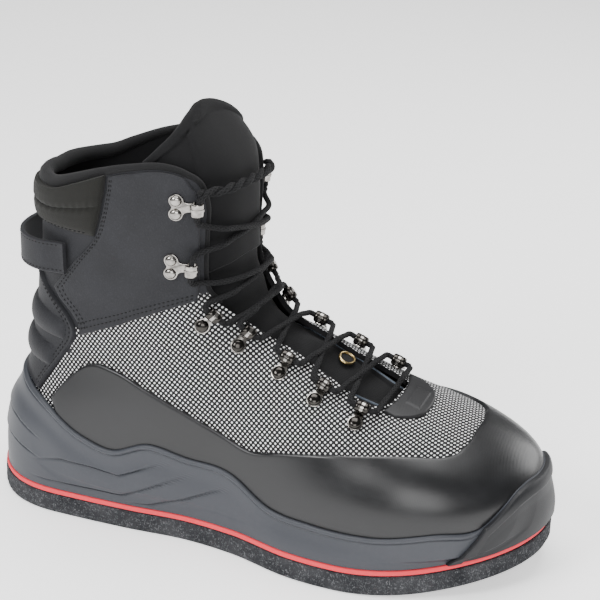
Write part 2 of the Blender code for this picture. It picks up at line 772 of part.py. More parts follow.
def heel_counter(material):
    """The counter, with its two moulded ribs."""
    rows = np.linspace(0, 1, 10)
    heights = np.interp(rows, np.linspace(0, 1, len(COUNTER)), [row[0] for row in COUNTER])
    spread = along(COUNTER, 1, heights)
    turn = np.linspace(-1, 1, 11)[:, None] * spread[None]
    height = np.broadcast_to(heights[None] * COLLAR_HEIGHT, turn.shape)
    grid = around(turn, height)
    # The lowest row follows the rubber's rim
    share, side = column_shares()
    rim = height_round(rubber_wall(share, side, np.ones(COLUMNS), 0.0), turn[:, 0]) + RIM_GAP
    drop = np.clip(1 - rows / 0.35, 0, 1)
    height = height + (rim - height[:, 0])[:, None] * drop[None]
    grid = around(turn, height)
    outer = raised(grid, np.full(grid.shape[:2], LAY + PANEL))
    inner = raised(grid, np.full(grid.shape[:2], LAY))
    parts = [skin(outer, inner)]
    for rib in COUNTER_RIBS:
        parts.append(counter_rib(*rib))
    return joined("heel_counter", parts, material)


def counter_rib(low, high, end_low, end_high, spread):
    turn = np.linspace(-1, 1, 9)
    fade = np.abs(turn) ** 1.6
    bottom = low + (end_low - low) * fade
    top = high + (end_high - high) * fade
    b = np.linspace(0, 1, 4)[None]
    height = (bottom[:, None] * (1 - b) + top[:, None] * b) * COLLAR_HEIGHT
    grid = around(np.broadcast_to(turn[:, None] * spread, height.shape), height)
    crown = np.array((0.35, 1.0, 1.0, 0.35))[None] * (1 - 0.35 * np.abs(turn[:, None]) ** 3)
    crown[0] *= 0.5
    crown[-1] *= 0.5
    outer = raised(grid, LAY + PANEL + COUNTER_RIB * crown)
    return skin(outer, raised(grid, np.full(grid.shape[:2], LAY + PANEL / 2)))


def back_collar(material):
    """The padded panel between the ankle panels, with one quilted groove."""
    rows = np.array((0.0, 0.08, 0.30, 0.46, 0.52, 0.58, 0.80, 1.0))
    puff = np.array((0.25, 0.80, 1.0, 0.85, 0.30, 0.85, 1.0, 0.60))
    heights = BACK_PANEL[0][0] + rows * (BACK_PANEL[-1][0] - BACK_PANEL[0][0])
    spread = along(BACK_PANEL, 1, heights)
    turn = np.linspace(-1, 1, 13)
    degrees = turn[:, None] * spread[None]
    # The top follows the collar, which is lowest at the back
    top = height_round(top_edge(), degrees[:, -1]) - LAY
    low = COLLAR_HEIGHT * BACK_PANEL[0][0]
    height = low + (top[:, None] - low) * rows[None]
    grid = around(degrees, height)
    edge = 0.35 + 0.65 * round_end(1 - np.abs(turn), 0.25)
    return laid("back_collar", grid, PADDING * puff[None] * edge[:, None], material)


def top_edge():
    share, side = column_shares()
    return edge_points(TOP_LINE, share, side, ANKLE_WIDTH / 2)


def height_round(ring, degrees):
    """Height of a ring of columns by the angle from straight back."""
    rear = ring[COLUMNS // 4: 3 * COLUMNS // 4 + 1]
    angle = np.degrees(np.arctan2(-rear[:, 1], SHAFT_AXIS - rear[:, 0]))
    order = np.argsort(angle)
    return np.interp(degrees, angle[order], rear[order, 2])


def collar_roll(material):
    """The padded roll on the collar's edge, thickest at the back, and the binding down to the throat."""
    share, side = upper_columns()
    chosen = share > ROLL_SHAPE[0][0]
    edge = upper_grid()[chosen, -1]
    out = normals(edge)
    onward = np.cross(np.gradient(edge, axis=0), out)
    onward /= np.linalg.norm(onward, axis=1, keepdims=True)
    radius = ROLL * along(ROLL_SHAPE, 1, share[chosen])
    path = edge - out * UPPER_WALL / 2 + onward * (radius + GAP + LAY / 2)[:, None]
    return make("collar_roll", *tube(path, radius, 6, out), material)


def insole(material):
    share, side = column_shares()
    floor = inside_floor(plan_x(share))
    inset = UPPER_WALL + 2 * LAY
    rings = []
    for height in (2 * GAP, 2 * GAP + INSOLE_THICKNESS):
        rings.append(raised(feather(share, side, floor + height), np.full(COLUMNS, -inset), level=True))
    return make("insole", *stack(rings), material)


def tongue_grid(columns, rows):
    turn = np.linspace(-1, 1, columns + 1)
    high = along(TONGUE_TOP, 1, turn) * TONGUE_HEIGHT / COLLAR_HEIGHT
    spine = np.array(SPINE)
    end = np.interp(high, spine[:, 2], spine[:, 0])
    # Rows are evenly spaced over the form, not along the line inside it
    fine = np.linspace(0, 1, 200)
    line = from_spine(fine, 0 * fine)
    reach = np.append(0, np.cumsum(np.linalg.norm(np.diff(line, axis=0), axis=1)))
    share = np.interp(np.interp(end, fine, reach)[:, None] * np.linspace(0, 1, rows + 1), reach, fine)
    return from_spine(share, -turn[:, None] * along(TONGUE_SPREAD, 1, share))


def tongue(material):
    grid = tongue_grid(10, 13)
    under = UPPER_WALL + LAY + GAP
    thin = TONGUE_THICKNESS * (0.45 + 0.55 * round_end(1 - np.abs(np.linspace(-1, 1, 11)), 0.5))
    outer = raised(grid, np.full(grid.shape[:2], -under))
    inner = raised(grid, np.broadcast_to(-under - thin[:, None], grid.shape[:2]))
    return make("tongue", *skin(outer, inner), material)


def throat_tab(material):
    """The base of the throat, with its bare rounded label place."""
    across = np.linspace(-1, 1, 9)
    inner_x = SOLE_LENGTH * (TOP_LINE[0][1] + 0.006)
    reach = 0.0165 - 0.010 * np.abs(across) ** 4
    t = np.linspace(0, 1, 4)[None]
    x = inner_x + reach[:, None] * t - 0.004 * across[:, None] ** 2
    y = np.broadcast_to(across[:, None] * 0.55 * ANKLE_WIDTH / 2 + 0.003, x.shape)
    start = np.stack([x, y, np.full(x.shape, SIDE_HEIGHT)], -1)
    grid = cast(start, np.array((0.0, 0.0, 1.0)))
    return laid("throat_tab", grid, PANEL, material)


def pull_loop(material):
    """The strap sling behind the collar."""
    turn = np.linspace(-1, 1, 17)
    degrees = turn * 50.0
    centre = COLLAR_HEIGHT * (0.700 + 0.010 * np.abs(turn) ** 2)
    stand = LAY + STRAP_REACH * (1 - np.abs(turn) ** 2.4) ** 1.1
    half = STRAP_WIDTH / 2
    grid = np.stack([around(degrees, centre + k * half) for k in (-1.0, 0.0, 1.0)], 1)
    middle = grid[:, 1]
    out = normals(middle, level=True)
    inner = np.stack([middle + out * stand[:, None] + (0, 0, k * half) for k in (-1.0, 0.0, 1.0)], 1)
    # Both ends lie on the upper
    rest = raised(grid, np.full(grid.shape[:2], LAY + PANEL + SEAT))
    close = np.clip((np.abs(turn) - 0.75) / 0.25, 0, 1)[:, None, None]
    inner = inner * (1 - close) + rest * close
    outer = inner + out[:, None] * STRAP_THICKNESS
    return make("pull_loop", *skin(outer, inner), material)


# Lace and hardware

def seat(row, hand, first):
    """Where a fitting is riveted: the point, the way to the throat's edge and the way along it."""
    x, y, height = row[0::2] if hand < 0 else row[1::2]
    point = settle(np.array([(SOLE_LENGTH * x, ANKLE_WIDTH / 2 * y * hand, COLLAR_HEIGHT * height)]))[0]
    share, side = column_shares()
    line = top_edge()[(side * hand > 0) & (share < 0.62) & (share > first)]
    fine = np.linspace(0, len(line) - 1, 400)
    line = np.stack([np.interp(fine, np.arange(len(line)), line[:, k]) for k in range(3)], -1)
    nearest = line[np.argmin(np.linalg.norm(line - point, axis=1))]
    out = normals(point[None])[0]
    way = nearest - point
    way = way / np.linalg.norm(way) + (0.0, -0.6 * hand, 0.0)
    way -= out * way.dot(out)
    way /= np.linalg.norm(way)
    return point, way, np.cross(out, way)


def draped(frame, local, under):
    """Points given as (towards the edge, along the edge, height), laid on the form."""
    point, way, along_edge = frame
    local = np.asarray(local, float)
    flat = point + local[..., :1] * way + local[..., 1:2] * along_edge
    return raised(settle(flat), under + local[..., 2])


def disc(frame, centre, radius, low, high, under, sides=6, dome=0.0):
    """A round plate or domed rivet, laid on the form."""
    turn = 2 * np.pi * np.arange(sides) / sides
    ring = np.stack([centre[0] + radius * np.cos(turn), centre[1] + radius * np.sin(turn)], -1)
    small = np.stack([centre[0] + radius * 0.6 * np.cos(turn), centre[1] + radius * 0.6 * np.sin(turn)], -1)
    levels = [(ring, low), (ring, high), (small, high + dome)]
    local = np.concatenate([np.column_stack([r, np.full(sides, h)]) for r, h in levels])
    points = draped(frame, local, under)
    faces = [tuple(range(sides)), tuple(2 * sides + k for k in range(sides))]
    for r in range(2):
        for k in range(sides):
            j = (k + 1) % sides
            faces.append((r * sides + k, r * sides + j, (r + 1) * sides + j, (r + 1) * sides + k))
    return points, faces


def plate(frame, outline, low, high, under):
    """A flat plate of any outline, laid on the form."""
    outline = np.asarray(outline, float)
    count = len(outline)
    local = np.concatenate([np.column_stack([outline, np.full(count, h)]) for h in (low, high)])
    points = draped(frame, local, under)
    faces = [tuple(range(count)), tuple(range(count, 2 * count))]
    for k in range(count):
        j = (k + 1) % count
        faces.append((k, j, count + j, count + k))
    return points, faces


def sleeve(frame, reach, height, radius, wall, under, arc=360.0, turn=30.0, sides=6):
    """The tube that the lace runs through, parallel to the throat's edge, whole or open like a hook."""
    angles = np.radians(turn + arc * np.arange(sides + (arc < 360)) / sides)
    grids = []
    for r in (radius, radius - wall):
        rows = []
        for end in (-0.5, 0.5):
            local = np.column_stack([reach + r * np.cos(angles), np.full(len(angles), end * TUBE_LENGTH),
                                     height + r * np.sin(angles)])
            rows.append(draped(frame, local, under))
        grids.append(np.stack(rows, 1))
    return skin(grids[0], grids[1], wrap=arc >= 360)


TUBE_RADIUS = LACE / 2 + GAP + METAL
TUBE_REACH = RIVET + LOOP_NECK + TUBE_RADIUS
HOOK_REACH = TUBE_REACH + HOOK_NECK


def lace_loop(name, row, hand, material):
    """A riveted plate with a tube on it."""
    frame = seat(row, hand, 0.10)
    under = SEAT
    neck = TUBE_LENGTH * 0.42
    head = RIVET * 1.15
    round_part = [(head * math.cos(a), head * math.sin(a)) for a in np.radians((90, 150, 210, 270))]
    tip = TUBE_REACH + TUBE_RADIUS * 0.6
    outline = round_part + [(TUBE_REACH, -neck), (tip, -neck), (tip, neck), (TUBE_REACH, neck)]
    parts = [
        sleeve(frame, TUBE_REACH, METAL * 0.6 + TUBE_RADIUS, TUBE_RADIUS, METAL * 0.8, under),
        plate(frame, outline, 0.0, METAL, under),
        disc(frame, (0.0, 0.0), RIVET * 0.8, METAL * 0.5, METAL * 1.6, under, dome=METAL),
    ]
    return joined(name, parts, material)


def lace_hook(name, row, hand, material):
    """A plate with two rivets and an open tube."""
    frame = seat(row, hand, 0.45)
    under = LAY + PANEL + SEAT
    half = RIVET * 0.97
    wide = half + RIVET
    side = RIVET * 0.8
    tip = HOOK_REACH + TUBE_RADIUS * 0.7
    outline = ((-side, half), (-side, -half), (0.0, -wide), (side, -half), (HOOK_REACH, -side), (tip, -side),
               (tip, side), (HOOK_REACH, side), (side, half), (0.0, wide))
    parts = [
        sleeve(frame, HOOK_REACH, METAL * 0.6 + TUBE_RADIUS, TUBE_RADIUS, METAL * 0.8, under, 250.0, -110.0),
        plate(frame, outline, 0.0, METAL, under),
    ]
    for k in (-1, 1):
        centre = (0.0, k * half)
        parts.append(disc(frame, centre, RIVET * 0.75, METAL * 0.5, METAL * 1.6, under, dome=METAL))
    return joined(name, parts, material)


def tongue_keeper(material):
    """The oval eye on the tongue."""
    centre = from_spine(np.array([0.222]), np.array([-9.0]))[0]
    frame = (centre, np.array((0.94, 0.0, -0.34)), np.array((0.0, 1.0, 0.0)))
    turn = 2 * np.pi * np.arange(12) / 12
    under = -(UPPER_WALL + LAY + GAP) + LAY
    rings = []
    # Share of its size; height, metres
    for size, height in ((1.0, 0.0), (1.0, 0.0012), (0.80, 0.0018), (0.62, 0.0009)):
        across, on = KEEPER_WIDTH / 2 * size * np.cos(turn), KEEPER_LENGTH / 2 * size * np.sin(turn)
        rings.append(draped(frame, np.column_stack([across, on, np.full(12, height)]), under))
    points = np.concatenate(rings)
    faces = [tuple(range(12)), tuple(36 + k for k in range(12))]
    for r in range(3):
        for k in range(12):
            j = (k + 1) % 12
            faces.append((r * 12 + k, r * 12 + j, (r + 1) * 12 + j, (r + 1) * 12 + k))
    return make("tongue_keeper", points, faces, material)


def tube_mouths(row, hand, first, reach, under, radius=LACE / 2):
    """The two ends of a fitting's tube, a lace's width beyond its metal."""
    frame = seat(row, hand, first)
    beyond = TUBE_LENGTH / 2 + radius + 6 * GAP
    local = [(reach, k * beyond, METAL * 0.6 + TUBE_RADIUS) for k in (-1.0, 1.0)]
    ends = draped(frame, local, under)
    return ends[np.argsort(ends[:, 2] - 0.3 * ends[:, 0])]


def strand(start, end, rest):
    """A lace's path over the tongue, from one tube's mouth to another's."""
    t = np.array((0.0, 0.12, 0.25, 0.38, 0.5, 0.62, 0.75, 0.88, 1.0))[:, None]
    chord = start * (1 - t) + end * t
    under = settle(chord)
    height = ((chord - under) * normals(under)).sum(-1)
    # It keeps its height past the throat's edge, then comes down to the tongue
    middle = np.clip((np.sin(np.pi * t[:, 0]) - 0.72) / 0.2, 0, 1)
    high = np.interp(t[:, 0], (0, 1), (height[0], height[-1]))
    return raised(under, high * (1 - middle) + rest * middle)


def lace(material):
    """A bar over the tongue's foot, a crossing between each two rows, and the top strand."""
    rows = [(row, 0.10, TUBE_REACH, SEAT) for row in LOOPS]
    rows += [(row, 0.45, HOOK_REACH, LAY + PANEL + SEAT) for row in HOOKS]
    mouths = [[tube_mouths(row, hand, *rest) for hand in (-1, 1)] for row, *rest in rows]
    rest = LACE / 2 - UPPER_WALL - LAY / 2 + 1.5 * GAP
    bar = strand(mouths[0][0][0], mouths[0][1][0], rest)
    make("lace_bar", *tube(bar, LACE / 2), material)
    for k in range(len(rows) - 1):
        pair = [strand(mouths[k][a][1], mouths[k + 1][1 - a][0], rest) for a in (0, 1)]
        joined(f"lace_crossing_{k + 1}", [tube(path, LACE / 2) for path in pair], material)
    high = [tube_mouths(rows[-1][0], hand, *rows[-1][1:], LACE * 0.75)[1] for hand in (-1, 1)]
    make("lace_top", *tube(strand(*high, rest + LACE / 4), LACE * 0.75), material)


for old in list(bpy.data.objects):
    bpy.data.objects.remove(old, do_unlink=True)

BOOT = bpy.data.objects.new("boot", None)
bpy.context.scene.collection.objects.link(BOOT)
BOOT.location = (-HEEL_REST, 0.0, 0.0)

rubber = finish("rubber", RUBBER_BLUE, 0.55)
leather = finish("coated_leather", LEATHER_BLACK, 0.45)
nubuck = finish("nubuck", NUBUCK, 0.75)
fabric = finish("dotted_mesh", MESH, 0.80)
textile = finish("lining_textile", TEXTILE, 0.90)
webbing = finish("webbing", NUBUCK, 0.80)
nickel = finish("nickel", NICKEL, 0.25, 1.0)
cord = finish("lace_cord", TEXTILE, 0.85)

felt_outsole(finish("felt", FELT_GREY, 0.95))
sole_strip(finish("sole_strip", SALMON, 0.70))
midsole(rubber)
toe_bumper(rubber)
upper(fabric)
insole(textile)
tongue(textile)
rand(leather)
ankle_panel("ankle_panel_lateral", -1.0, nubuck)
ankle_panel("ankle_panel_medial", 1.0, nubuck)
heel_counter(nubuck)
back_collar(textile)
collar_roll(textile)
throat_tab(leather)
pull_loop(webbing)
tongue_keeper(finish("brass", BRASS, 0.35, 1.0))
for side_name, hand_of in (("lateral", -1), ("medial", 1)):
    for number, row_of in enumerate(LOOPS, 1):
        lace_loop(f"lace_loop_{side_name}_{number}", row_of, hand_of, nickel)
    for number, row_of in enumerate(HOOKS, 1):
        lace_hook(f"lace_hook_{side_name}_{number}", row_of, hand_of, nickel)
lace(cord)
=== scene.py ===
"""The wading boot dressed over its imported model: a right-foot felt-soled boot on a pale studio floor.

Lengths are metres. The boot's own lengthwise measure starts at the back of the heel, and its heel rests
HEEL_REST in front of that, at the origin of the scene.
"""

import math

import bmesh
import bpy
import numpy as np
from mathutils import Matrix, Vector


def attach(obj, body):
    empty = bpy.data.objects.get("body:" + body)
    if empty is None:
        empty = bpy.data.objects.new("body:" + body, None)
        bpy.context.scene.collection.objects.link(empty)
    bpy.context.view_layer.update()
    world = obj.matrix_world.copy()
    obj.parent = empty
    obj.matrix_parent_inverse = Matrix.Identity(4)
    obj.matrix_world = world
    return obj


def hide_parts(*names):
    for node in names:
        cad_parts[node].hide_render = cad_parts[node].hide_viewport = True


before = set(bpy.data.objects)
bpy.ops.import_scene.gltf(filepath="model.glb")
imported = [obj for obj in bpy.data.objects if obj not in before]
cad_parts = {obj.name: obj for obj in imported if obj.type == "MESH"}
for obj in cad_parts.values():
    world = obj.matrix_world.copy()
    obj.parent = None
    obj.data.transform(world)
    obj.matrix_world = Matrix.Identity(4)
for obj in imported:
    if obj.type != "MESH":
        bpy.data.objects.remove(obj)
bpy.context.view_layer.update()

# Camera and studio
# The boot stands on a pale floor and is seen from its outer side, a little in front of square on.
# A broad soft light hangs above, smaller ones stand to the front and side, and one behind lights the toe.
HEEL_REST = 0.055
LOOK = Vector((0.160 - HEEL_REST, 0.003, 0.090))
CAMERA_TURN, CAMERA_RISE, CAMERA_ROLL = math.radians(22.0), math.radians(25.0), math.radians(1.2)
CAMERA_DISTANCE = 1.0

back = Vector((math.sin(CAMERA_TURN) * math.cos(CAMERA_RISE), -math.cos(CAMERA_TURN) * math.cos(CAMERA_RISE),
               math.sin(CAMERA_RISE)))
right = Vector((math.cos(CAMERA_TURN), math.sin(CAMERA_TURN), 0.0))
up = back.cross(right)
right, up = (right * math.cos(CAMERA_ROLL) + up * math.sin(CAMERA_ROLL),
             up * math.cos(CAMERA_ROLL) - right * math.sin(CAMERA_ROLL))
camera = bpy.data.objects.new("camera", bpy.data.cameras.new("camera"))
bpy.context.scene.collection.objects.link(camera)
camera.matrix_world = (Matrix.Translation(LOOK + back * CAMERA_DISTANCE)
                       @ Matrix((right, up, back)).transposed().to_4x4())
camera.data.sensor_width = 36.0
camera.data.lens = 108.0
camera.data.shift_x = 35 / 600
camera.data.shift_y = 68 / 600
camera.data.clip_start = 0.01
bpy.context.scene.camera = camera

# Name; place; size; power in watts
LIGHTS = (
    ("front", (0.60, -1.10, 0.60), 0.70, 9.0),
    ("side", (-0.36, -0.86, 0.86), 0.50, 12.0),
    ("over", (0.05, 0.20, 1.50), 1.20, 30.0),
    ("toe", (0.80, 0.95, 0.50), 0.60, 6.0),
)
for light_name, light_place, light_size, power in LIGHTS:
    light = bpy.data.objects.new("light_" + light_name, bpy.data.lights.new("light_" + light_name, "AREA"))
    light.data.size = light_size
    light.data.energy = power
    light.location = light_place
    light.rotation_euler = (LOOK - Vector(light_place)).to_track_quat("-Z", "Y").to_euler()
    bpy.context.scene.collection.objects.link(light)

world = bpy.data.worlds.new("white_room")
world.use_nodes = True
world.node_tree.nodes["Background"].inputs["Color"].default_value = (1.0, 1.0, 1.0, 1.0)
world.node_tree.nodes["Background"].inputs["Strength"].default_value = 0.28
bpy.context.scene.world = world

floor_mesh = bpy.data.meshes.new("floor")
floor_mesh.from_pydata([(-6, -6, 0), (6, -6, 0), (6, 6, 0), (-6, 6, 0)], [], [(0, 1, 2, 3)])
floor = bpy.data.objects.new("floor", floor_mesh)
bpy.context.scene.collection.objects.link(floor)
floor_paint = bpy.data.materials.new("floor_paint")
floor_paint.use_nodes = True
floor_shader = floor_paint.node_tree.nodes["Principled BSDF"]
for label, value in (("Base Color", (0.97, 0.97, 0.97, 1.0)), ("Roughness", 0.9),
                     ("Emission Color", (1.0, 1.0, 1.0, 1.0)), ("Emission Strength", 0.80)):
    floor_shader.inputs[label].default_value = value
floor_mesh.materials.append(floor_paint)

# The last
# The hard form of a foot and shin that a boot is pulled over while it is made. It isn't in the boot, but
# every piece of the upper takes its curve from it: a foot blended into a shaft.
SOLE_LENGTH, SOLE_WIDTH, COLLAR_HEIGHT = 0.325, 0.126, 0.216
INSTEP_HEIGHT, ANKLE_WIDTH, TONGUE_HEIGHT = 0.120, 0.080, 0.245
TOE_SPRING, HEEL_LIFT, SPRING_START, LIFT_END = 0.015, 0.0035, 0.70, 0.09
HEEL_START, HEEL_INSET, TOE_INSET, HEEL_ROUND, TOE_ROUND = 0.003, 0.023, 0.007, 0.040, 0.070
SIDE_HEIGHT, TOE_TIP, INSTEP_BLEND, SHAFT_TURN, SHAFT_AXIS = 0.042, 0.012, 0.026, 0.10, 0.090

# Share of the sole's length; outer and inner half width, shares of half the sole's; top, share of the
# instep's height
FOOT = (
    (0.05, 0.62, 0.62, 0.60),
    (0.20, 0.66, 0.64, 0.78),
    (0.35, 0.68, 0.63, 1.04),
    (0.45, 0.71, 0.66, 1.06),
    (0.55, 0.79, 0.74, 0.99),
    (0.65, 0.88, 0.84, 0.86),
    (0.75, 0.90, 0.89, 0.750),
    (0.85, 0.84, 0.89, 0.675),
    (1.00, 0.72, 0.83, 0.600),
)
# Height, share of the collar's; back and front, shares of the sole's length; outer and inner half width,
# shares of half the ankle's
SHAFT = (
    (0.05, 0.050, 0.430, 0.97, 0.97),
    (0.20, 0.053, 0.440, 1.02, 1.00),
    (0.33, 0.064, 0.455, 1.00, 1.00),
    (0.43, 0.074, 0.465, 0.97, 0.97),
    (0.55, 0.088, 0.468, 0.96, 0.96),
    (0.66, 0.095, 0.468, 0.97, 0.97),
    (0.78, 0.100, 0.470, 0.99, 0.99),
    (0.90, 0.108, 0.468, 1.03, 1.02),
    (1.00, 0.118, 0.455, 1.04, 1.03),
    (1.13, 0.128, 0.380, 0.85, 0.82),
)


def along(table, column, at):
    """A smooth curve through one column of a table, read at places of its first column."""
    rows = np.array(table, float)
    place, value = rows[:, 0], rows[:, column]
    slope = np.gradient(value, place)
    at = np.clip(np.asarray(at, float), place[0], place[-1])
    i = np.clip(np.searchsorted(place, at) - 1, 0, len(place) - 2)
    span = place[i + 1] - place[i]
    t = (at - place[i]) / span
    return ((1 + 2 * t) * (1 - t) ** 2 * value[i] + t * (1 - t) ** 2 * span * slope[i]
            + t * t * (3 - 2 * t) * value[i + 1] + t * t * (t - 1) * span * slope[i + 1])


def round_end(distance, reach, power=2.35):
    """How full an end is: 0 at its tip and 1 from reach onwards."""
    t = np.clip(distance / reach, 0, 1)
    return (1 - (1 - t) ** power) ** (1 / power)


def lift(x):
    """How far the sole's underside is off the floor."""
    share = np.asarray(x, float) / SOLE_LENGTH
    toe = np.clip((share - SPRING_START) / (1 - SPRING_START), 0, 1) ** 2 * TOE_SPRING
    return toe + np.clip((LIFT_END - share) / LIFT_END, 0, 1) ** 2 * HEEL_LIFT


def foot_field(x, y, z):
    share = x / SOLE_LENGTH
    half = SOLE_WIDTH / 2
    axis = 0.7 * TOE_TIP * np.clip((share - 0.5) / 0.5, 0, 1) ** 1.5
    across = y - axis
    width = np.where(across < 0, half * along(FOOT, 1, share) + axis, half * along(FOOT, 2, share) - axis)
    side = SIDE_HEIGHT + 0.8 * lift(x)
    top = INSTEP_HEIGHT * along(FOOT, 3, share) + 0.3 * lift(x) - side
    crown = np.maximum(z - side - 0.08 * across, 0) / top
    toe = np.maximum(x - (SOLE_LENGTH - TOE_INSET - TOE_ROUND), 0) / TOE_ROUND
    heel = np.maximum(HEEL_INSET + HEEL_ROUND - x, 0) / HEEL_ROUND
    tuck = 1 + 0.06 * np.clip((side - z) / 0.03, 0, 1) ** 2
    power = 2.3
    ratio = ((np.abs(across) / width * tuck) ** power + crown ** power + (toe * tuck) ** power
             + heel ** power + 1e-12) ** (1 / power)
    return (ratio - 1) * ANKLE_WIDTH / 2


def shaft_field(x, y, z):
    height = z / COLLAR_HEIGHT
    rear, front = SOLE_LENGTH * along(SHAFT, 1, height), SOLE_LENGTH * along(SHAFT, 2, height)
    width = ANKLE_WIDTH / 2 * np.where(y < 0, along(SHAFT, 3, height), along(SHAFT, 4, height))
    reach = (front - rear) / 2
    middle = (rear + front) / 2 + SHAFT_TURN * np.clip(2 * height - 0.6, 0, 1) * y
    power = np.where(x > middle, 3.2, 2.2)
    ratio = ((np.abs(x - middle) / reach) ** power + (np.abs(y) / width) ** 2.6 + 1e-12) ** (1 / 2.4)
    return (ratio - 1) * ANKLE_WIDTH / 2


def field(points):
    """Below 0 inside the last, above 0 outside."""
    x, y, z = np.moveaxis(points, -1, 0)
    a, b = foot_field(x, y, z), shaft_field(x, y, z)
    h = np.clip(0.5 + 0.5 * (b - a) / INSTEP_BLEND, 0, 1)
    return b * (1 - h) + a * h - INSTEP_BLEND * h * (1 - h)


def slope_of(points, step=0.0002):
    axes = np.eye(3) * step
    return np.stack([field(points + axis) - field(points - axis) for axis in axes], -1) / (2 * step)


def unit(ways):
    return ways / np.linalg.norm(ways, axis=-1, keepdims=True)


def normals(points, level=False):
    g = slope_of(points)
    if level:
        g[..., 2] = 0
    return unit(g)


def settle(points, level=False, steps=9):
    """Moves rough points onto the last, at their own height if level."""
    p = np.array(points, float)
    for _ in range(steps):
        g = slope_of(p)
        if level:
            g[..., 2] = 0
        move = field(p)[..., None] * g / np.maximum((g * g).sum(-1, keepdims=True), 0.05)
        p -= np.clip(move, -0.01, 0.01)
    return p


def cast(start, way):
    """Where rays from inside the last leave it."""
    start, way = np.broadcast_arrays(np.asarray(start, float), np.asarray(way, float))
    near, far = np.zeros(start.shape[:-1]), np.full(start.shape[:-1], SOLE_LENGTH * 0.7)
    for _ in range(24):
        middle = (near + far) / 2
        out = field(start + way * middle[..., None]) > 0
        near, far = np.where(out, near, middle), np.where(out, middle, far)
    return start + way * far[..., None]


def around(degrees, height):
    """Points on the shaft, by the angle from straight back (the outer side is positive) and the height."""
    angle = np.radians(degrees)
    start = np.stack(np.broadcast_arrays(SHAFT_AXIS, 0.0, height), -1)
    return cast(start, np.stack([-np.cos(angle), -np.sin(angle), 0 * angle], -1))


def raised(points, height, level=False):
    """Points on the last, moved out by a height."""
    return points + normals(points, level) * np.asarray(height, float)[..., None]


# Felt outsole
# A slab of pressed grey felt about 11 mm thick, cut to the sole's outline, cemented under the rubber and
# stitched with red thread a finger's width in from its edge. Water and stones leave it open and hairy.
FELT, FELT_BEVEL, FELT_SEAM = 0.0115, 0.0012, 0.0115
SOLE_COLUMNS = 288
# Share of the sole's length from the heel; outer and inner edge, shares of half its width
SOLE_PLAN = (
    (0.00, 0.74, 0.76),
    (0.15, 0.78, 0.75),
    (0.30, 0.78, 0.68),
    (0.42, 0.75, 0.68),
    (0.50, 0.80, 0.79),
    (0.62, 0.97, 0.95),
    (0.70, 1.00, 1.00),
    (0.80, 0.96, 1.00),
    (0.90, 0.86, 0.97),
    (1.00, 0.76, 0.90),
)


def column_shares(count):
    """Columns from the toe down the outer side to the heel, and back up the inner side."""
    half = count // 2
    out = np.arange(half + 1) / half
    return np.concatenate([out, out[-2:0:-1]]), np.concatenate([-np.ones(half + 1), np.ones(half - 1)])


def plan_x(share):
    round_share = 0.85 * (1 + np.cos(np.pi * share)) / 2
    return HEEL_START + (SOLE_LENGTH - HEEL_START) * (round_share + 0.15 * (1 - share))


def sole_edge(share, side, inset=0.0):
    """The sole's edge in plan."""
    x = plan_x(share)
    part = x / SOLE_LENGTH
    full = round_end(x - HEEL_START, 0.16 * SOLE_LENGTH) * round_end(SOLE_LENGTH - x, 0.32 * SOLE_LENGTH)
    tip = np.where(part > 0.5, TOE_TIP, 0.0)
    edge = np.where(side < 0, -along(SOLE_PLAN, 1, part), along(SOLE_PLAN, 2, part)) * SOLE_WIDTH / 2
    y = tip + (edge - tip) * full
    shrink = 1 - 2 * inset / SOLE_WIDTH
    middle = (HEEL_START + SOLE_LENGTH) / 2
    x = middle + (x - middle) * (1 - 2 * inset / SOLE_LENGTH)
    return np.stack([x, tip + (y - tip) * shrink, 0 * x], -1)


def sole_ring(height, inset=0.0, count=SOLE_COLUMNS):
    ring = sole_edge(*column_shares(count), inset)
    ring[:, 2] = height + lift(ring[:, 0])
    return ring


def ladder(start, count):
    """Faces across a ring of columns, from the outer side to the inner."""
    half = count // 2
    faces = []
    for i in range(half):
        face = [start + i, start + i + 1]
        if i + 1 < half:
            face.append(start + count - i - 1)
        if i > 0:
            face.append(start + count - i)
        faces.append(tuple(face))
    return faces


def stack(rings):
    """Points and faces of a solid through rings of columns, closed by a ladder at both ends."""
    count = len(rings[0])
    faces = ladder(0, count) + ladder((len(rings) - 1) * count, count)
    for r in range(len(rings) - 1):
        a = r * count
        for i in range(count):
            j = (i + 1) % count
            faces.append((a + i, a + j, a + count + j, a + count + i))
    return np.concatenate(rings), faces


def run_along(path):
    """Each point's distance along its path."""
    return np.append(0, np.cumsum(np.linalg.norm(np.diff(path, axis=0), axis=1)))


def resampled(path, spacing):
    """A path's points evenly spaced along it."""
    path = np.asarray(path, float)
    run = run_along(path)
    at = np.linspace(0, run[-1], max(2, round(run[-1] / spacing) + 1))
    return np.stack([np.interp(at, run, path[:, k]) for k in range(3)], -1)


def tube(path, radius, sides=10, hint=(0.0, 0.0, 1.0)):
    """Points and faces of a round bar along a path, with flat ends."""
    path = np.asarray(path, float)
    radius = np.broadcast_to(radius, len(path))
    way = unit(np.gradient(path, axis=0))
    cross = unit(np.cross(way, np.asarray(hint, float)))
    over = np.cross(cross, way)
    turn = 2 * np.pi * np.arange(sides) / sides
    ring = np.cos(turn)[None, :, None] * cross[:, None] + np.sin(turn)[None, :, None] * over[:, None]
    points = (path[:, None] + ring * radius[:, None, None]).reshape(-1, 3)
    faces = [tuple(range(sides)), tuple((len(path) - 1) * sides + k for k in range(sides))]
    for i in range(len(path) - 1):
        for k in range(sides):
            j = (k + 1) % sides
            faces.append((i * sides + k, i * sides + j, (i + 1) * sides + j, (i + 1) * sides + k))
    return points, faces


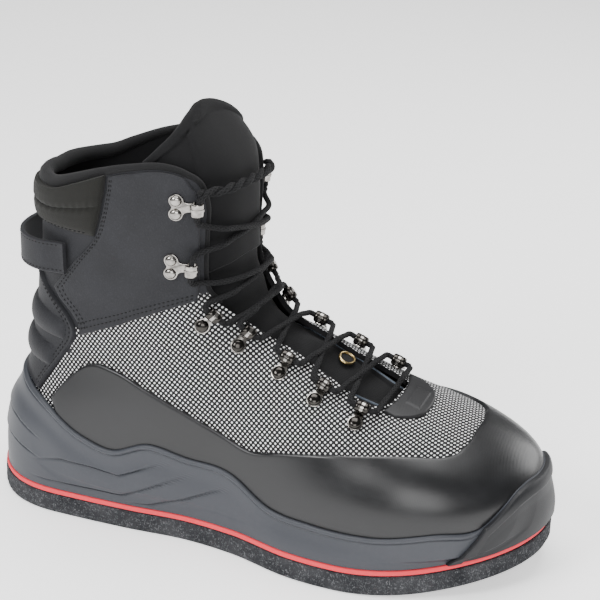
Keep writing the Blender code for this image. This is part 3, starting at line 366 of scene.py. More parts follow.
def stitches(path, pitch, length, radius, hint):
    """A row of thread dashes along a path, each dipping in at its two ends."""
    fine = resampled(path, pitch / 10)
    hints = np.broadcast_to(hint, np.shape(path)) if np.ndim(hint) == 1 else hint
    hints = np.stack([np.interp(np.linspace(0, 1, len(fine)), np.linspace(0, 1, len(hints)), hints[:, k])
                      for k in range(3)], -1)
    out = []
    steps = max(2, round(length / pitch * 10))
    for start in range(0, len(fine) - steps - 1, 10):
        rows = np.arange(start, start + steps + 1)
        arch = np.sin(np.linspace(0, np.pi, len(rows)))
        dash = fine[rows] + hints[rows] * (radius * (arch - 0.8))[:, None]
        out.append(tube(dash, radius * (0.45 + 0.55 * arch), 6, hints[rows]))
    return out


def gathered(parts):
    """Several sets of points and faces as one, and each face's part number."""
    points, faces, which, count = [], [], [], 0
    for number, (p, f) in enumerate(parts):
        points.append(np.asarray(p, float))
        faces += [tuple(v + count for v in face) for face in f]
        which += [number] * len(f)
        count += len(p)
    return np.concatenate(points), faces, which


def piece(name, parts, materials, nodes, flat=None, sharp=38.0):
    """One visible piece of the boot from its parts, each with a material, standing for nodes of the model."""
    points, faces, which = gathered(parts)
    mesh = bpy.data.meshes.new(name)
    mesh.from_pydata((points - (HEEL_REST, 0.0, 0.0)).tolist(), [], faces)
    used = []
    for material in materials:
        if material not in used:
            used.append(material)
            mesh.materials.append(material)
    mesh.polygons.foreach_set("material_index", [used.index(materials[k]) for k in which])
    if flat is not None:
        # Places measured on the cloth, in metres
        store = mesh.attributes.new("cloth", "FLOAT_VECTOR", "POINT")
        store.data.foreach_set("vector", np.column_stack([flat, np.zeros(len(flat))]).ravel())
    work = bmesh.new()
    work.from_mesh(mesh)
    bmesh.ops.recalc_face_normals(work, faces=work.faces)
    work.to_mesh(mesh)
    work.free()
    mesh.shade_smooth()
    mesh.set_sharp_from_angle(angle=math.radians(sharp))
    thing = bpy.data.objects.new(name, mesh)
    bpy.context.scene.collection.objects.link(thing)
    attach(thing, "root")
    if nodes:
        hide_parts(*nodes)
    return thing


class Effect:
    """A shader node group with named inputs that puts out a surface's colour, roughness and height."""

    def __init__(self, name, **inputs):
        self.tree = bpy.data.node_groups.new(name, "ShaderNodeTree")
        for label, value in inputs.items():
            kind = "NodeSocketColor" if isinstance(value, tuple) else "NodeSocketFloat"
            socket = self.tree.interface.new_socket(label, in_out="INPUT", socket_type=kind)
            socket.default_value = (*value, 1.0) if isinstance(value, tuple) else value
        for label, kind in (("Colour", "Color"), ("Roughness", "Float"), ("Height", "Float")):
            self.tree.interface.new_socket(label, in_out="OUTPUT", socket_type="NodeSocket" + kind)
        self.given = self.tree.nodes.new("NodeGroupInput").outputs
        self.place = self.node("TexCoord").outputs["Object"]

    def node(self, kind):
        return self.tree.nodes.new("ShaderNode" + kind)

    def feed(self, socket, value):
        """A socket takes a number, a colour or another node's output."""
        if isinstance(value, (int, float)):
            socket.default_value = value
        elif isinstance(value, tuple):
            socket.default_value = (*value, 1.0)
        else:
            self.tree.links.new(value, socket)

    def math(self, operation, *values):
        node = self.node("Math")
        node.operation = operation
        for socket, value in zip(node.inputs, values):
            self.feed(socket, value)
        return node.outputs[0]

    def stretched(self, scale):
        """The place on the piece, stretched along the three axes."""
        node = self.node("VectorMath")
        node.operation = "MULTIPLY"
        node.inputs[1].default_value = scale
        self.feed(node.inputs[0], self.place)
        return node.outputs[0]

    def noise(self, scale, detail=3.0, roughness=0.5, at=None):
        node = self.node("TexNoise")
        for label, value in (("Scale", scale), ("Detail", detail), ("Roughness", roughness),
                             ("Vector", at or self.place)):
            self.feed(node.inputs[label], value)
        return node.outputs["Fac"]

    def ramp(self, value, low, high, to_low=0.0, to_high=1.0):
        node = self.node("MapRange")
        for label, number in (("Value", value), ("From Min", low), ("From Max", high), ("To Min", to_low),
                              ("To Max", to_high)):
            self.feed(node.inputs[label], number)
        return node.outputs["Result"]

    def mix(self, factor, a, b):
        node = self.node("Mix")
        node.data_type = "RGBA"
        for number, value in ((0, factor), (6, a), (7, b)):
            self.feed(node.inputs[number], value)
        return node.outputs[2]

    def axes(self, vector):
        node = self.node("SeparateXYZ")
        self.feed(node.inputs[0], vector)
        return node.outputs

    def cloth(self):
        """The place measured on the cloth, where the piece's mesh holds one."""
        node = self.node("Attribute")
        node.attribute_name = "cloth"
        return node.outputs["Vector"]

    def put_out(self, colour, roughness, height):
        result = self.tree.nodes.new("NodeGroupOutput")
        for label, value in (("Colour", colour), ("Roughness", roughness), ("Height", height)):
            self.feed(result.inputs[label], value)


def finish_of(name, effect, bump, depth, specular=0.5, also=None, **values):
    """A material whose colour, roughness and relief come from an effect, with the rest set on the shader."""
    material = bpy.data.materials.new(name)
    material.use_nodes = True
    tree = material.node_tree
    shader = tree.nodes["Principled BSDF"]
    for label, value in {"Specular IOR Level": specular, **(also or {})}.items():
        shader.inputs[label].default_value = value
    node = tree.nodes.new("ShaderNodeGroup")
    node.node_tree = effect.tree
    for label, value in values.items():
        node.inputs[label].default_value = (*value, 1.0) if isinstance(value, tuple) else value
    tree.links.new(node.outputs["Colour"], shader.inputs["Base Color"])
    tree.links.new(node.outputs["Roughness"], shader.inputs["Roughness"])
    relief = tree.nodes.new("ShaderNodeBump")
    relief.inputs["Strength"].default_value = bump
    relief.inputs["Distance"].default_value = depth
    tree.links.new(node.outputs["Height"], relief.inputs["Height"])
    tree.links.new(relief.outputs["Normal"], shader.inputs["Normal"])
    return material


# Matted fibres: pale and dark hairs at two sizes over a mottled ground
fibres = Effect("matted_fibres", Ground=(0.05, 0.05, 0.06), Hair=(0.3, 0.3, 0.32))
hair = fibres.noise(1500.0, 4.0, 0.75, fibres.stretched((1.0, 1.0, 0.6)))
tufts = fibres.noise(420.0, 3.0, 0.6)
pale = fibres.math("MULTIPLY", fibres.ramp(hair, 0.50, 0.66), fibres.ramp(tufts, 0.40, 0.62))
ground = fibres.mix(fibres.ramp(fibres.noise(60.0), 0.35, 0.7), fibres.given["Ground"], (0.016, 0.017, 0.020))
fibres.put_out(fibres.mix(pale, ground, fibres.given["Hair"]), fibres.ramp(tufts, 0.3, 0.7, 0.9, 1.0),
               fibres.math("ADD", hair, tufts))

felt = finish_of("felt", fibres, 0.9, 0.0009, 0.2, Ground=(0.045, 0.046, 0.050), Hair=(0.20, 0.205, 0.215))
red_thread = finish_of("red_thread", fibres, 0.3, 0.0002, Ground=(0.42, 0.02, 0.03), Hair=(0.55, 0.10, 0.10))

FELT_TOOTH, FELT_PITCH, FELT_STITCH, FELT_THREAD = 0.00016, 0.0100, 0.0072, 0.00045
# Height and inset of the rings from the sewn groove out to the rounded lower edge
FELT_UNDERSIDE = ((0.0, 0.0125), (0.0009, 0.0119), (0.0009, 0.0111), (0.0, 0.0105), (0.0, 0.0040),
                  (0.0, FELT_BEVEL), (0.0004, FELT_BEVEL / 3))
rng = np.random.default_rng(7)
felt_rings = [sole_ring(*row) for row in FELT_UNDERSIDE]
for felt_level in np.linspace(FELT_BEVEL, FELT - 0.0008, 9):
    ring = sole_ring(felt_level)
    tooth = rng.normal(0.0, FELT_TOOTH, len(ring))
    felt_rings.append(ring + np.stack([0 * tooth, tooth, 0.3 * tooth], -1))
felt_rings += [sole_ring(FELT - 0.0002, 0.0004), sole_ring(FELT, 0.0012)]
felt_parts = [stack(felt_rings)]
felt_seam = sole_ring(0.0004, FELT_SEAM)
felt_seam = np.vstack([felt_seam, felt_seam[:1]])
felt_parts += stitches(felt_seam, FELT_PITCH, FELT_STITCH, FELT_THREAD, (0.0, 0.0, -1.0))
piece("felt_sole", felt_parts, [felt] + [red_thread] * (len(felt_parts) - 1), ["felt_outsole"])

# Sole strip
# A salmon-red strip of sheet rubber, 3 mm thick, between the felt and the cup. It is laid in one length,
# pressed flat with them and buffed level, so its edge is matt and a little uneven.
GAP, STRIP, STRIP_INSET = 0.00035, 0.003, 0.0004

# Cast rubber: an even colour with soft clouds, faint scuffs and a very fine grain
cast_rubber = Effect("cast_rubber", Tint=(0.05, 0.05, 0.06), Scuffed=(0.09, 0.09, 0.10), Dull=0.55)
clouds = cast_rubber.noise(26.0, 4.0, 0.55)
scuffs = cast_rubber.noise(420.0, 3.0, 0.7)
cloudy, scuffed = cast_rubber.ramp(clouds, 0.35, 0.80), cast_rubber.ramp(scuffs, 0.40, 0.80)
worn = cast_rubber.math("MULTIPLY", cloudy, scuffed)
cast_rubber.put_out(cast_rubber.mix(worn, cast_rubber.given["Tint"], cast_rubber.given["Scuffed"]),
                    cast_rubber.math("MULTIPLY_ADD", clouds, 0.16, cast_rubber.given["Dull"]),
                    cast_rubber.math("MULTIPLY_ADD", scuffs, 0.12, cast_rubber.noise(1900.0, 2.0, 0.6)))

strip_rubber = finish_of("strip_rubber", cast_rubber, 0.15, 0.0002, 0.20, Tint=(0.74, 0.045, 0.062),
                         Scuffed=(0.77, 0.075, 0.090), Dull=0.60)
# Share of the strip's thickness, and how far its edge draws in there
STRIP_EDGE = ((0.0, 0.0012), (0.06, 0.0003), (0.3, 0.0), (0.7, 0.0), (0.94, 0.0003), (1.0, 0.0012))
strip_rings = [sole_ring(FELT + GAP + STRIP * level, STRIP_INSET + drawn) for level, drawn in STRIP_EDGE]
piece("red_strip", [stack(strip_rings)], [strip_rubber], ["sole_strip"])

# Rubber cup
# The midsole is one moulded cup of blue-grey rubber: a thick floor, a wall that climbs round heel and
# sides, chevrons stepped into the wall, and a rounded bead along the rim that presses on the upper.
FOREFOOT_STACK, HEEL_RAISE, RUBBER_LIP, RUBBER_INSET = 0.009, 0.010, 0.0028, 0.0012
BEAD_RADIUS, BEAD_DOWN, BEAD_HEIGHT, CUP_GAP = 0.0013, 0.0014, 0.0009, 0.0012
STEP_HEIGHT, STEP_FADE, STEP_SHARP, LINE_DEPTH, LINE_WIDTH = 0.0008, 0.0085, 0.00018, 0.0011, 0.00045
GROOVE_DEPTH, GROOVE_WIDTH, HOLLOW_DEPTH, HOLLOW_DOWN, HOLLOW_WIDTH = 0.00055, 0.0005, 0.0009, 0.011, 0.006
CUP_COLUMNS = 440
# Share of the way from toe to heel; height of the rim, share of the collar's
RIM = (
    (0.000, 0.275),
    (0.070, 0.275),
    (0.105, 0.264),
    (0.140, 0.235),
    (0.175, 0.195),
    (0.240, 0.186),
    (0.320, 0.160),
    (0.400, 0.157),
    (0.455, 0.168),
    (0.500, 0.225),
    (0.560, 0.243),
    (0.610, 0.262),
    (0.660, 0.226),
    (0.705, 0.247),
    (0.770, 0.304),
    (0.850, 0.338),
    (1.000, 0.360),
)
# Share of the wall's height; share of the sole's overhang kept
RUBBER_PROFILE = ((0.00, 1.00), (0.20, 0.96), (0.40, 0.78), (0.60, 0.48), (0.80, 0.20), (1.00, 0.00))
# Corners as shares of the sole's length and the collar's height; the last two go round the heel
CHEVRONS = (
    ((0.113, 0.140), (0.180, 0.167), (0.239, 0.165), (0.291, 0.156), (0.344, 0.195), (0.391, 0.230)),
    ((0.109, 0.093), (0.176, 0.094), (0.236, 0.096), (0.294, 0.096), (0.371, 0.157), (0.437, 0.209)),
    ((0.300, 0.078), (0.345, 0.082), (0.417, 0.127), (0.500, 0.190)),
    ((-0.080, 0.262), (0.020, 0.258), (0.080, 0.236), (0.135, 0.205)),
    ((-0.080, 0.190), (0.020, 0.187), (0.080, 0.170), (0.135, 0.150)),
)


def inside_floor(x):
    """Height of the rubber's floor inside the boot."""
    high = 1 - np.clip((np.asarray(x, float) / SOLE_LENGTH - 0.30) / 0.30, 0, 1)
    return FELT + STRIP + 2 * GAP + FOREFOOT_STACK + HEEL_RAISE * high * high * (3 - 2 * high) + lift(x)


def feather(share, side, height):
    """Points on the last at a height, under the same columns as the sole's edge."""
    points = sole_edge(share, side)
    points[..., 1] *= 0.9
    points[..., 2] = height
    return settle(points, level=True)


def rim_height(share):
    return COLLAR_HEIGHT * along(RIM, 1, share)


def rubber_wall(share, side, level, extra=0.0):
    """The rubber's outer face, at a share of the height between its foot and its rim."""
    foot = sole_edge(share, side, RUBBER_INSET)
    low = FELT + STRIP + 2 * GAP + lift(foot[..., 0])
    height = low + (rim_height(share) - low) * level
    base = feather(share, side, height)
    out = normals(base, level=True)
    thin = 0.9 + 0.1 * np.clip(share / 0.2, 0, 1)
    lean = base + out * (np.clip(level * 4, 0, 1) * thin * RUBBER_LIP)[..., None]
    foot[..., 2] = height
    over = np.clip(0.5 + ((foot - lean) * out).sum(-1) / 0.003, 0, 1)
    keep = along(RUBBER_PROFILE, 1, level) * over + np.clip(1 - 4 * level, 0, 1) * (1 - over)
    return lean * (1 - keep[..., None]) + foot * keep[..., None] + out * np.asarray(extra)[..., None]


def soft_step(distance, soft):
    """0 well short of a line and 1 well past it."""
    return 1 / (1 + np.exp(-distance / soft))


def chevron_steps(x, z):
    """Height of the moulded steps: proud just above each line, fading upwards and at the line's ends."""
    total = np.zeros(np.shape(x))
    for corners in CHEVRONS:
        line = np.array(corners) * (SOLE_LENGTH, COLLAR_HEIGHT)
        over = z - np.interp(x, line[:, 0], line[:, 1])
        reach = line[-1, 0] - line[0, 0]
        at = (x - line[0, 0]) / reach
        ends = np.clip(at / 0.25, 0, 1) * np.clip((1 - at) / 0.22, 0, 1) * ((at > 0) & (at < 1))
        rise = soft_step(over, STEP_SHARP)
        total += STEP_HEIGHT * ends * rise * np.exp(-np.maximum(over, 0) / STEP_FADE)
        total -= LINE_DEPTH * ends * np.exp(-((over + LINE_WIDTH) / LINE_WIDTH) ** 2)
    return total


cup_share, cup_side = column_shares(CUP_COLUMNS)
cup_levels = np.concatenate([np.linspace(0, 0.80, 104), np.linspace(0.81, 1.0, 36)])
share_grid = np.broadcast_to(cup_share[None], (len(cup_levels), CUP_COLUMNS))
side_grid = np.broadcast_to(cup_side[None], share_grid.shape)
level_grid = np.broadcast_to(cup_levels[:, None], share_grid.shape)
plain = rubber_wall(share_grid, side_grid, level_grid)
down = rim_height(share_grid) - plain[..., 2]
behind_toe = np.clip((share_grid - 0.17) / 0.03, 0, 1)
bead = BEAD_HEIGHT * np.sqrt(np.clip(1 - ((down - BEAD_DOWN) / BEAD_RADIUS) ** 2, 0, 1)) * behind_toe
groove_at = BEAD_DOWN + BEAD_RADIUS + GROOVE_WIDTH
groove = -GROOVE_DEPTH * np.exp(-((down - groove_at) / GROOVE_WIDTH) ** 2) * behind_toe
hollow = -HOLLOW_DEPTH * np.exp(-((down - HOLLOW_DOWN) / HOLLOW_WIDTH) ** 2)
hollow = hollow * np.clip((share_grid - 0.45) / 0.1, 0, 1)
relief = bead + groove + hollow + chevron_steps(plain[..., 0], plain[..., 2])
foot_edge = np.clip(level_grid / 0.02, 0, 1)
cup_wall = rubber_wall(share_grid, side_grid, level_grid, relief * foot_edge)
cup_rings = list(cup_wall)
cup_floor = inside_floor(plan_x(cup_share))
for cup_level, cup_gap in ((1.0, 1.6 * CUP_GAP), (0.995, CUP_GAP), (0.5, 1.5 * CUP_GAP), (0.0, CUP_GAP)):
    ring = feather(cup_share, cup_side, cup_floor + (rim_height(cup_share) - cup_floor) * cup_level)
    cup_rings.append(raised(ring, cup_gap, level=True))
blue_rubber = finish_of("blue_grey_rubber", cast_rubber, 0.10, 0.0002, 0.45, Tint=(0.030, 0.033, 0.041),
                        Scuffed=(0.040, 0.043, 0.051), Dull=0.42)
piece("rubber_cup", [stack(cup_rings)], [blue_rubber], ["midsole"])

# Toe bumper
# A second layer of the same rubber moulded round the toe over the cup's wall. It has a raised band along
# its top edge, and a lower field inside a curved step.
BUMPER, BUMPER_BAND, BUMPER_REACH, BUMPER_ROUND, BUMPER_LONG = 0.0016, 0.0062, 0.0010, 0.0022, 0.075
FIELD_DEPTH, FIELD_SHARP, FIELD_FADE, FIELD_SWELL = 0.00110, 0.00016, 0.020, 0.0004
bumper_spread = np.linspace(-1, 1, 181)
bumper_levels = np.concatenate([np.linspace(0.02, 0.80, 40), np.linspace(0.81, 0.985, 22)])
bumper_share = np.abs(bumper_spread)[:, None] * (0.215 - 0.045 * bumper_levels)[None]
bumper_side = np.broadcast_to(np.where(bumper_spread < 0, -1.0, 1.0)[:, None], bumper_share.shape)
bumper_level = np.broadcast_to(bumper_levels[None], bumper_share.shape)
bumper_base = rubber_wall(bumper_share, bumper_side, bumper_level)
down = rim_height(bumper_share) - bumper_base[..., 2]
to_end = (1 - np.abs(bumper_spread))[:, None] * np.ones(down.shape) * BUMPER_LONG
inside = np.minimum(down - BUMPER_BAND, (to_end - 0.008) * 1.3)
field_depth = FIELD_DEPTH * soft_step(inside, FIELD_SHARP) * np.exp(-np.maximum(inside, 0) / FIELD_FADE)
bumper_edge = round_end(np.minimum(down, to_end), BUMPER_ROUND)
bumper_height = (BUMPER - field_depth) * bumper_edge
bumper_height = bumper_height + FIELD_SWELL * np.sin(np.clip((down - 0.012) / 0.02, 0, 1) * np.pi)


def skin(outer, inner, wrap=False):
    """Points and faces of a closed skin between two grids of the same size."""
    a, b = outer.shape[:2]
    faces = []
    last = a if wrap else a - 1
    for i in range(last):
        j = (i + 1) % a
        for k in range(b - 1):
            quad = (i * b + k, j * b + k, j * b + k + 1, i * b + k + 1)
            faces.append(quad)
            faces.append(tuple(a * b + v for v in reversed(quad)))
        for k in (0, b - 1):
            faces.append((i * b + k, j * b + k, a * b + j * b + k, a * b + i * b + k))
    if not wrap:
        for i in (0, a - 1):
            for k in range(b - 1):
                faces.append((i * b + k, i * b + k + 1, a * b + i * b + k + 1, a * b + i * b + k))
    return np.concatenate([outer.reshape(-1, 3), inner.reshape(-1, 3)]), faces


bumper_outer = rubber_wall(bumper_share, bumper_side, bumper_level, BUMPER_REACH + bumper_height)
bumper_inner = rubber_wall(bumper_share, bumper_side, bumper_level, 0.0001)
toe_rubber = finish_of("toe_rubber", cast_rubber, 0.15, 0.0003, 0.4, Tint=(0.0070, 0.0074, 0.0090),
                       Scuffed=(0.0130, 0.0135, 0.0160), Dull=0.46)
piece("toe_rubber", [skin(bumper_outer, bumper_inner)], [toe_rubber], ["toe_bumper"])

# Upper
# The shell is one wall of dark coated cloth printed with a diagonal grid of raised pale dots, with a black
# textile lining, stitched to a charcoal leather quarter behind. It is lasted into the cup and open along
# throat and collar. It is new, so it has only soft hollows where it will bend.
UPPER_WALL = 0.0028
DOT_PITCH, DOT_TURN, DOT_POWER, CLOTH_MIDDLE = 0.0021, math.radians(33.0), 2.6, 0.045
# Share of the way from toe to heel; outer and inner x, shares of the sole's length; outer and inner y, shares
# of half the ankle's width; height, share of the collar's
TOP_LINE = (
    (0.00, 0.735, 0.735, -0.07, 0.07, 0.410),
    (0.08, 0.729, 0.733, 0.28, 0.38, 0.412),
    (0.14, 0.707, 0.712, 0.47, 0.44, 0.423),
    (0.22, 0.633, 0.640, 0.43, 0.40, 0.474),
    (0.30, 0.556, 0.560, 0.39, 0.38, 0.532),
    (0.36, 0.511, 0.513, 0.43, 0.42, 0.563),
    (0.40, 0.478, 0.482, 0.56, 0.52, 0.602),
    (0.44, 0.452, 0.462, 0.69, 0.64, 0.636),
    (0.48, 0.429, 0.448, 0.78, 0.76, 0.680),
    (0.54, 0.427, 0.446, 0.78, 0.78, 0.824),
    (0.58, 0.427, 0.450, 0.77, 0.78, 0.895),
    (0.61, 0.417, 0.446, 0.81, 0.80, 0.944),
    (0.64, 0.396, 0.425, 0.89, 0.88, 0.968),
    (0.69, 0.363, 0.380, 0.97, 0.97, 0.982),
    (0.76, 0.308, 0.312, 1.04, 1.02, 0.970),
    (0.83, 0.255, 0.255, 1.04, 1.03, 0.944),
    (0.89, 0.203, 0.203, 0.98, 0.97, 0.910),
    (0.95, 0.158, 0.158, 0.75, 0.75, 0.882),
    (1.00, 0.115, 0.115, 0.00, 0.00, 0.872),
)
# Where the shell gives: place in the boot's own measure, reach each way, and depth
HOLLOWS = (
    ((0.205, -0.045, 0.060), (0.030, 0.020, 0.016), 0.0012),
    ((0.232, -0.036, 0.074), (0.010, 0.022, 0.010), 0.0006),
    ((0.205, 0.045, 0.060), (0.026, 0.020, 0.016), 0.0010),
    ((0.232, 0.038, 0.074), (0.010, 0.022, 0.010), 0.0006),
    ((0.110, -0.040, 0.150), (0.016, 0.020, 0.010), 0.0007),
    ((0.085, -0.040, 0.128), (0.022, 0.020, 0.008), 0.0007),
    ((0.110, 0.040, 0.148), (0.018, 0.020, 0.010), 0.0008),
    ((0.120, -0.040, 0.178), (0.020, 0.020, 0.012), -0.0007),
    ((0.262, -0.035, 0.055), (0.020, 0.024, 0.018), -0.0008),
)


def given_way(points):
    """How far a soft hollow or swell moves the shell at these points."""
    total = np.zeros(points.shape[:-1])
    for place, reach, depth in HOLLOWS:
        total -= depth * np.exp(-(((points - place) / reach) ** 2).sum(-1))
    return total


def edge_points(table, share, side, half_width):
    """Points of a table with x, outer and inner y, and height, settled on the last."""
    x = SOLE_LENGTH * np.where(side < 0, along(table, 1, share), along(table, 2, share))
    y = half_width * np.where(side < 0, -along(table, 3, share), along(table, 4, share))
    return settle(np.stack([x, y, COLLAR_HEIGHT * along(table, 5, share)], -1))


def upper_columns(count):
    """The sole's columns, with more where the throat's edge is steep."""
    share, side = column_shares(count)
    steep = (share > 0.42) & (share < 0.62)
    extra, hand = share[steep] + 1 / count, side[steep]
    out = np.sort(np.concatenate([share[side < 0], extra[hand < 0]]))
    rest = np.sort(np.concatenate([share[side > 0], extra[hand > 0]]))[::-1]
    return np.concatenate([out, rest]), np.concatenate([-np.ones(len(out)), np.ones(len(rest))])


def between(low, high, places, middle=None):
    """A grid on the last between two borders, at places from 0 to 1, drawn towards a middle line."""
    t = np.asarray(places, float)[:, None]
    middle = (low + high) / 2 if middle is None else middle
    grid = settle(low[:, None] * (1 - t) ** 2 + 2 * middle[:, None] * t * (1 - t) + high[:, None] * t ** 2)
    grid[:, 0] = low
    grid[:, -1] = high
    return grid


def upper_grid(count, rows):
    share, side = upper_columns(count)
    low = feather(share, side, inside_floor(plan_x(share)) + 2 * GAP)
    high = edge_points(TOP_LINE, share, side, ANKLE_WIDTH / 2)
    pull = np.clip(1.5 - np.abs(share - 0.55) / 0.08, 0, 1)[:, None]
    behind = high + (-0.07 * SOLE_LENGTH, 0.0, 0.0)
    behind[:, 2] = 0.4 * low[:, 2] + 0.6 * high[:, 2]
    return between(low, high, np.linspace(0, 1, rows + 1), (low + high) / 2 * (1 - pull) + behind * pull)


def cloth_places(points):
    """Where points lie on the cloth: along the boot, and round its section from the outer side."""
    x = np.linspace(0.02, SOLE_LENGTH - 0.01, 70)
    turn = np.radians(np.linspace(-60, 240, 151))
    start = np.stack(np.broadcast_arrays(x[:, None], 0.0, CLOTH_MIDDLE), -1)
    way = np.stack(np.broadcast_arrays(0.0, -np.cos(turn), np.sin(turn)), -1)[None]
    section = cast(start, np.broadcast_to(way, (len(x), len(turn), 3)))
    steps = np.linalg.norm(np.diff(section, axis=1), axis=2)
    run = np.concatenate([np.zeros((len(x), 1)), np.cumsum(steps, axis=1)], 1)
    level_turn = 30
    run -= run[:, level_turn:level_turn + 1]
    i = np.clip((points[..., 0] - x[0]) / (x[1] - x[0]), 0, len(x) - 1.001)
    angle = np.arctan2(points[..., 2] - CLOTH_MIDDLE, -points[..., 1])
    angle = np.where(angle < -2.0, angle + 2 * np.pi, angle)
    j = np.clip((angle - turn[0]) / (turn[1] - turn[0]), 0, len(turn) - 1.001)
    a, b, s, t = i.astype(int), j.astype(int), i % 1, j % 1
    rear = run[a, b] * (1 - t) + run[a, b + 1] * t
    front = run[a + 1, b] * (1 - t) + run[a + 1, b + 1] * t
    return np.stack([points[..., 0], rear * (1 - s) + front * s], -1)


# Dotted cloth: pale raised dots on a diagonal grid over a black weave
dotted = Effect("dotted_cloth", Pitch=0.0018, Dot=(0.8, 0.8, 0.8), Ground=(0.02, 0.02, 0.02))
turned = dotted.node("VectorRotate")
turned.rotation_type = "Z_AXIS"
dotted.feed(turned.inputs["Angle"], DOT_TURN)
dotted.feed(turned.inputs["Vector"], dotted.cloth())
axes = dotted.axes(turned.outputs["Vector"])
powers = []
for axis in ("X", "Y"):
    cell = dotted.math("FRACT", dotted.math("DIVIDE", axes[axis], dotted.given["Pitch"]))
    off_centre = dotted.math("ABSOLUTE", dotted.math("SUBTRACT", cell, 0.5))
    powers.append(dotted.math("POWER", off_centre, DOT_POWER))
reach = dotted.math("POWER", dotted.math("ADD", *powers), 1 / DOT_POWER)
dot = dotted.ramp(dotted.math("MULTIPLY_ADD", dotted.noise(900.0), 0.10, reach), 0.335, 0.275)
shade = dotted.mix(dotted.noise(700.0), dotted.given["Dot"], (0.70, 0.70, 0.71))
dotted.put_out(dotted.mix(dot, dotted.given["Ground"], shade), dotted.ramp(dot, 0.0, 1.0, 0.75, 0.5),
               dotted.math("MULTIPLY_ADD", dotted.noise(2500.0), 0.3, dot))

# Napped leather: charcoal with soft clouds, a short nap and small pores
napped = Effect("napped_leather", Hide=(0.05, 0.05, 0.05), Rubbed=(0.08, 0.08, 0.09), Dull=0.7)
clouds = napped.noise(38.0, 4.0, 0.6)
nap = napped.noise(1300.0, 3.0, 0.7, napped.stretched((1.0, 1.0, 0.7)))
pores = napped.node("TexVoronoi")
napped.feed(pores.inputs["Scale"], 1100.0)
napped.feed(pores.inputs["Vector"], napped.place)
cloudy = napped.mix(napped.ramp(clouds, 0.35, 0.75), napped.given["Hide"], napped.given["Rubbed"])
fleck = napped.math("MULTIPLY", napped.ramp(nap, 0.5, 0.8), 0.35)
napped.put_out(napped.mix(fleck, cloudy, (0.040, 0.041, 0.047)),
               napped.math("MULTIPLY_ADD", clouds, 0.12, napped.given["Dull"]),
               napped.math("MULTIPLY_ADD", pores.outputs["Distance"], 0.6, nap))

# Knitted textile: fine crossing ribs with a little fluff
knitted = Effect("knitted_textile", Yarn=(0.02, 0.02, 0.02), Fluff=(0.08, 0.08, 0.08), Size=1400.0)
axes = knitted.axes(knitted.place)
sum_xy = knitted.math("ADD", axes["X"], axes["Y"])
threads = knitted.math("MULTIPLY", knitted.given["Size"], 4.0)
warp, weft = (knitted.math("SINE", knitted.math("MULTIPLY", knitted.math(way, sum_xy, axes["Z"]), threads))
              for way in ("ADD", "SUBTRACT"))
fluff = knitted.noise(1700.0, 3.0, 0.7)
fluffy = knitted.math("MULTIPLY", knitted.ramp(fluff, 0.45, 0.75), 0.6)
knitted.put_out(knitted.mix(fluffy, knitted.given["Yarn"], knitted.given["Fluff"]),
                knitted.ramp(fluff, 0.3, 0.7, 0.85, 1.0),
                knitted.math("MULTIPLY_ADD", knitted.math("MULTIPLY", warp, weft), 0.35, fluff))

dotted_cloth = finish_of("dotted_cloth", dotted, 0.30, 0.0003, 0.25, Pitch=DOT_PITCH, Dot=(0.90, 0.90, 0.90),
                         Ground=(0.0045, 0.0045, 0.0050))
charcoal_nubuck = finish_of("charcoal_nubuck", napped, 0.35, 0.0003, 0.25,
                            {"Sheen Weight": 0.05, "Sheen Roughness": 0.5}, Hide=(0.0105, 0.0108, 0.0130),
                            Rubbed=(0.0170, 0.0175, 0.0205), Dull=0.66)
black_lining = finish_of("black_lining", knitted, 0.3, 0.0003, 0.25, Yarn=(0.0035, 0.0035, 0.0040),
                         Fluff=(0.009, 0.009, 0.010))

shell = upper_grid(272, 66)
shell_out = raised(shell, given_way(shell))
shell_in = raised(shell, -UPPER_WALL)
shell_in[:, 0] = raised(shell[:, 0], -UPPER_WALL, level=True)
shell_points, shell_faces = skin(shell_out, shell_in, wrap=True)
# The dotted cloth ends under the ankle panel and the counter
PANEL_FOOT = ((57.9, 0.504), (75.0, 0.532), (93.0, 0.557), (117.0, 0.599), (132.0, 0.628), (143.5, 0.650))
outside = shell_out.reshape(-1, 3)
from_back = np.degrees(np.arctan2(np.abs(outside[:, 1]), SHAFT_AXIS - outside[:, 0]))
foot_line = np.interp(from_back, *np.array(PANEL_FOOT).T) * COLLAR_HEIGHT
is_leather = (outside[:, 2] > foot_line + 0.003) | ((from_back < 52) & (outside[:, 2] > 0.44 * COLLAR_HEIGHT))
parts_of = ([], [], [])
for face in shell_faces:
    if max(face) >= len(outside):
        parts_of[2].append(face)
    elif sum(is_leather[v] for v in face) > 2:
        parts_of[1].append(face)
    else:
        parts_of[0].append(face)
shell_parts = [(shell_points, [])]
for faces in parts_of:
    faces = [tuple(v - len(shell_points) for v in face) for face in faces]
    shell_parts.append((np.zeros((0, 3)), faces))
shell_flat = np.concatenate([cloth_places(outside), np.zeros((len(outside), 2))])
piece("shell", shell_parts, [dotted_cloth, dotted_cloth, charcoal_nubuck, black_lining], ["upper"],
      flat=shell_flat)

# Insole
# A loose foam footbed covered in black textile lies on the cup's floor, cut to the lining.
LAY = 0.0010
# Height over the cup's floor, and how far the edge draws in there
BED_EDGE = ((0.0, 0.0008), (0.0008, 0.0), (0.0030, 0.0), (0.0038, 0.0006), (0.0040, 0.0016))
bed_share, bed_side = column_shares(160)
bed_floor = inside_floor(plan_x(bed_share)) + 2 * GAP
bed_rings = []
for bed_height, bed_in in BED_EDGE:
    ring = feather(bed_share, bed_side, bed_floor + bed_height)
    bed_rings.append(raised(ring, -UPPER_WALL - 2 * LAY - bed_in, level=True))
piece("footbed", [stack(bed_rings)], [black_lining], ["insole"])

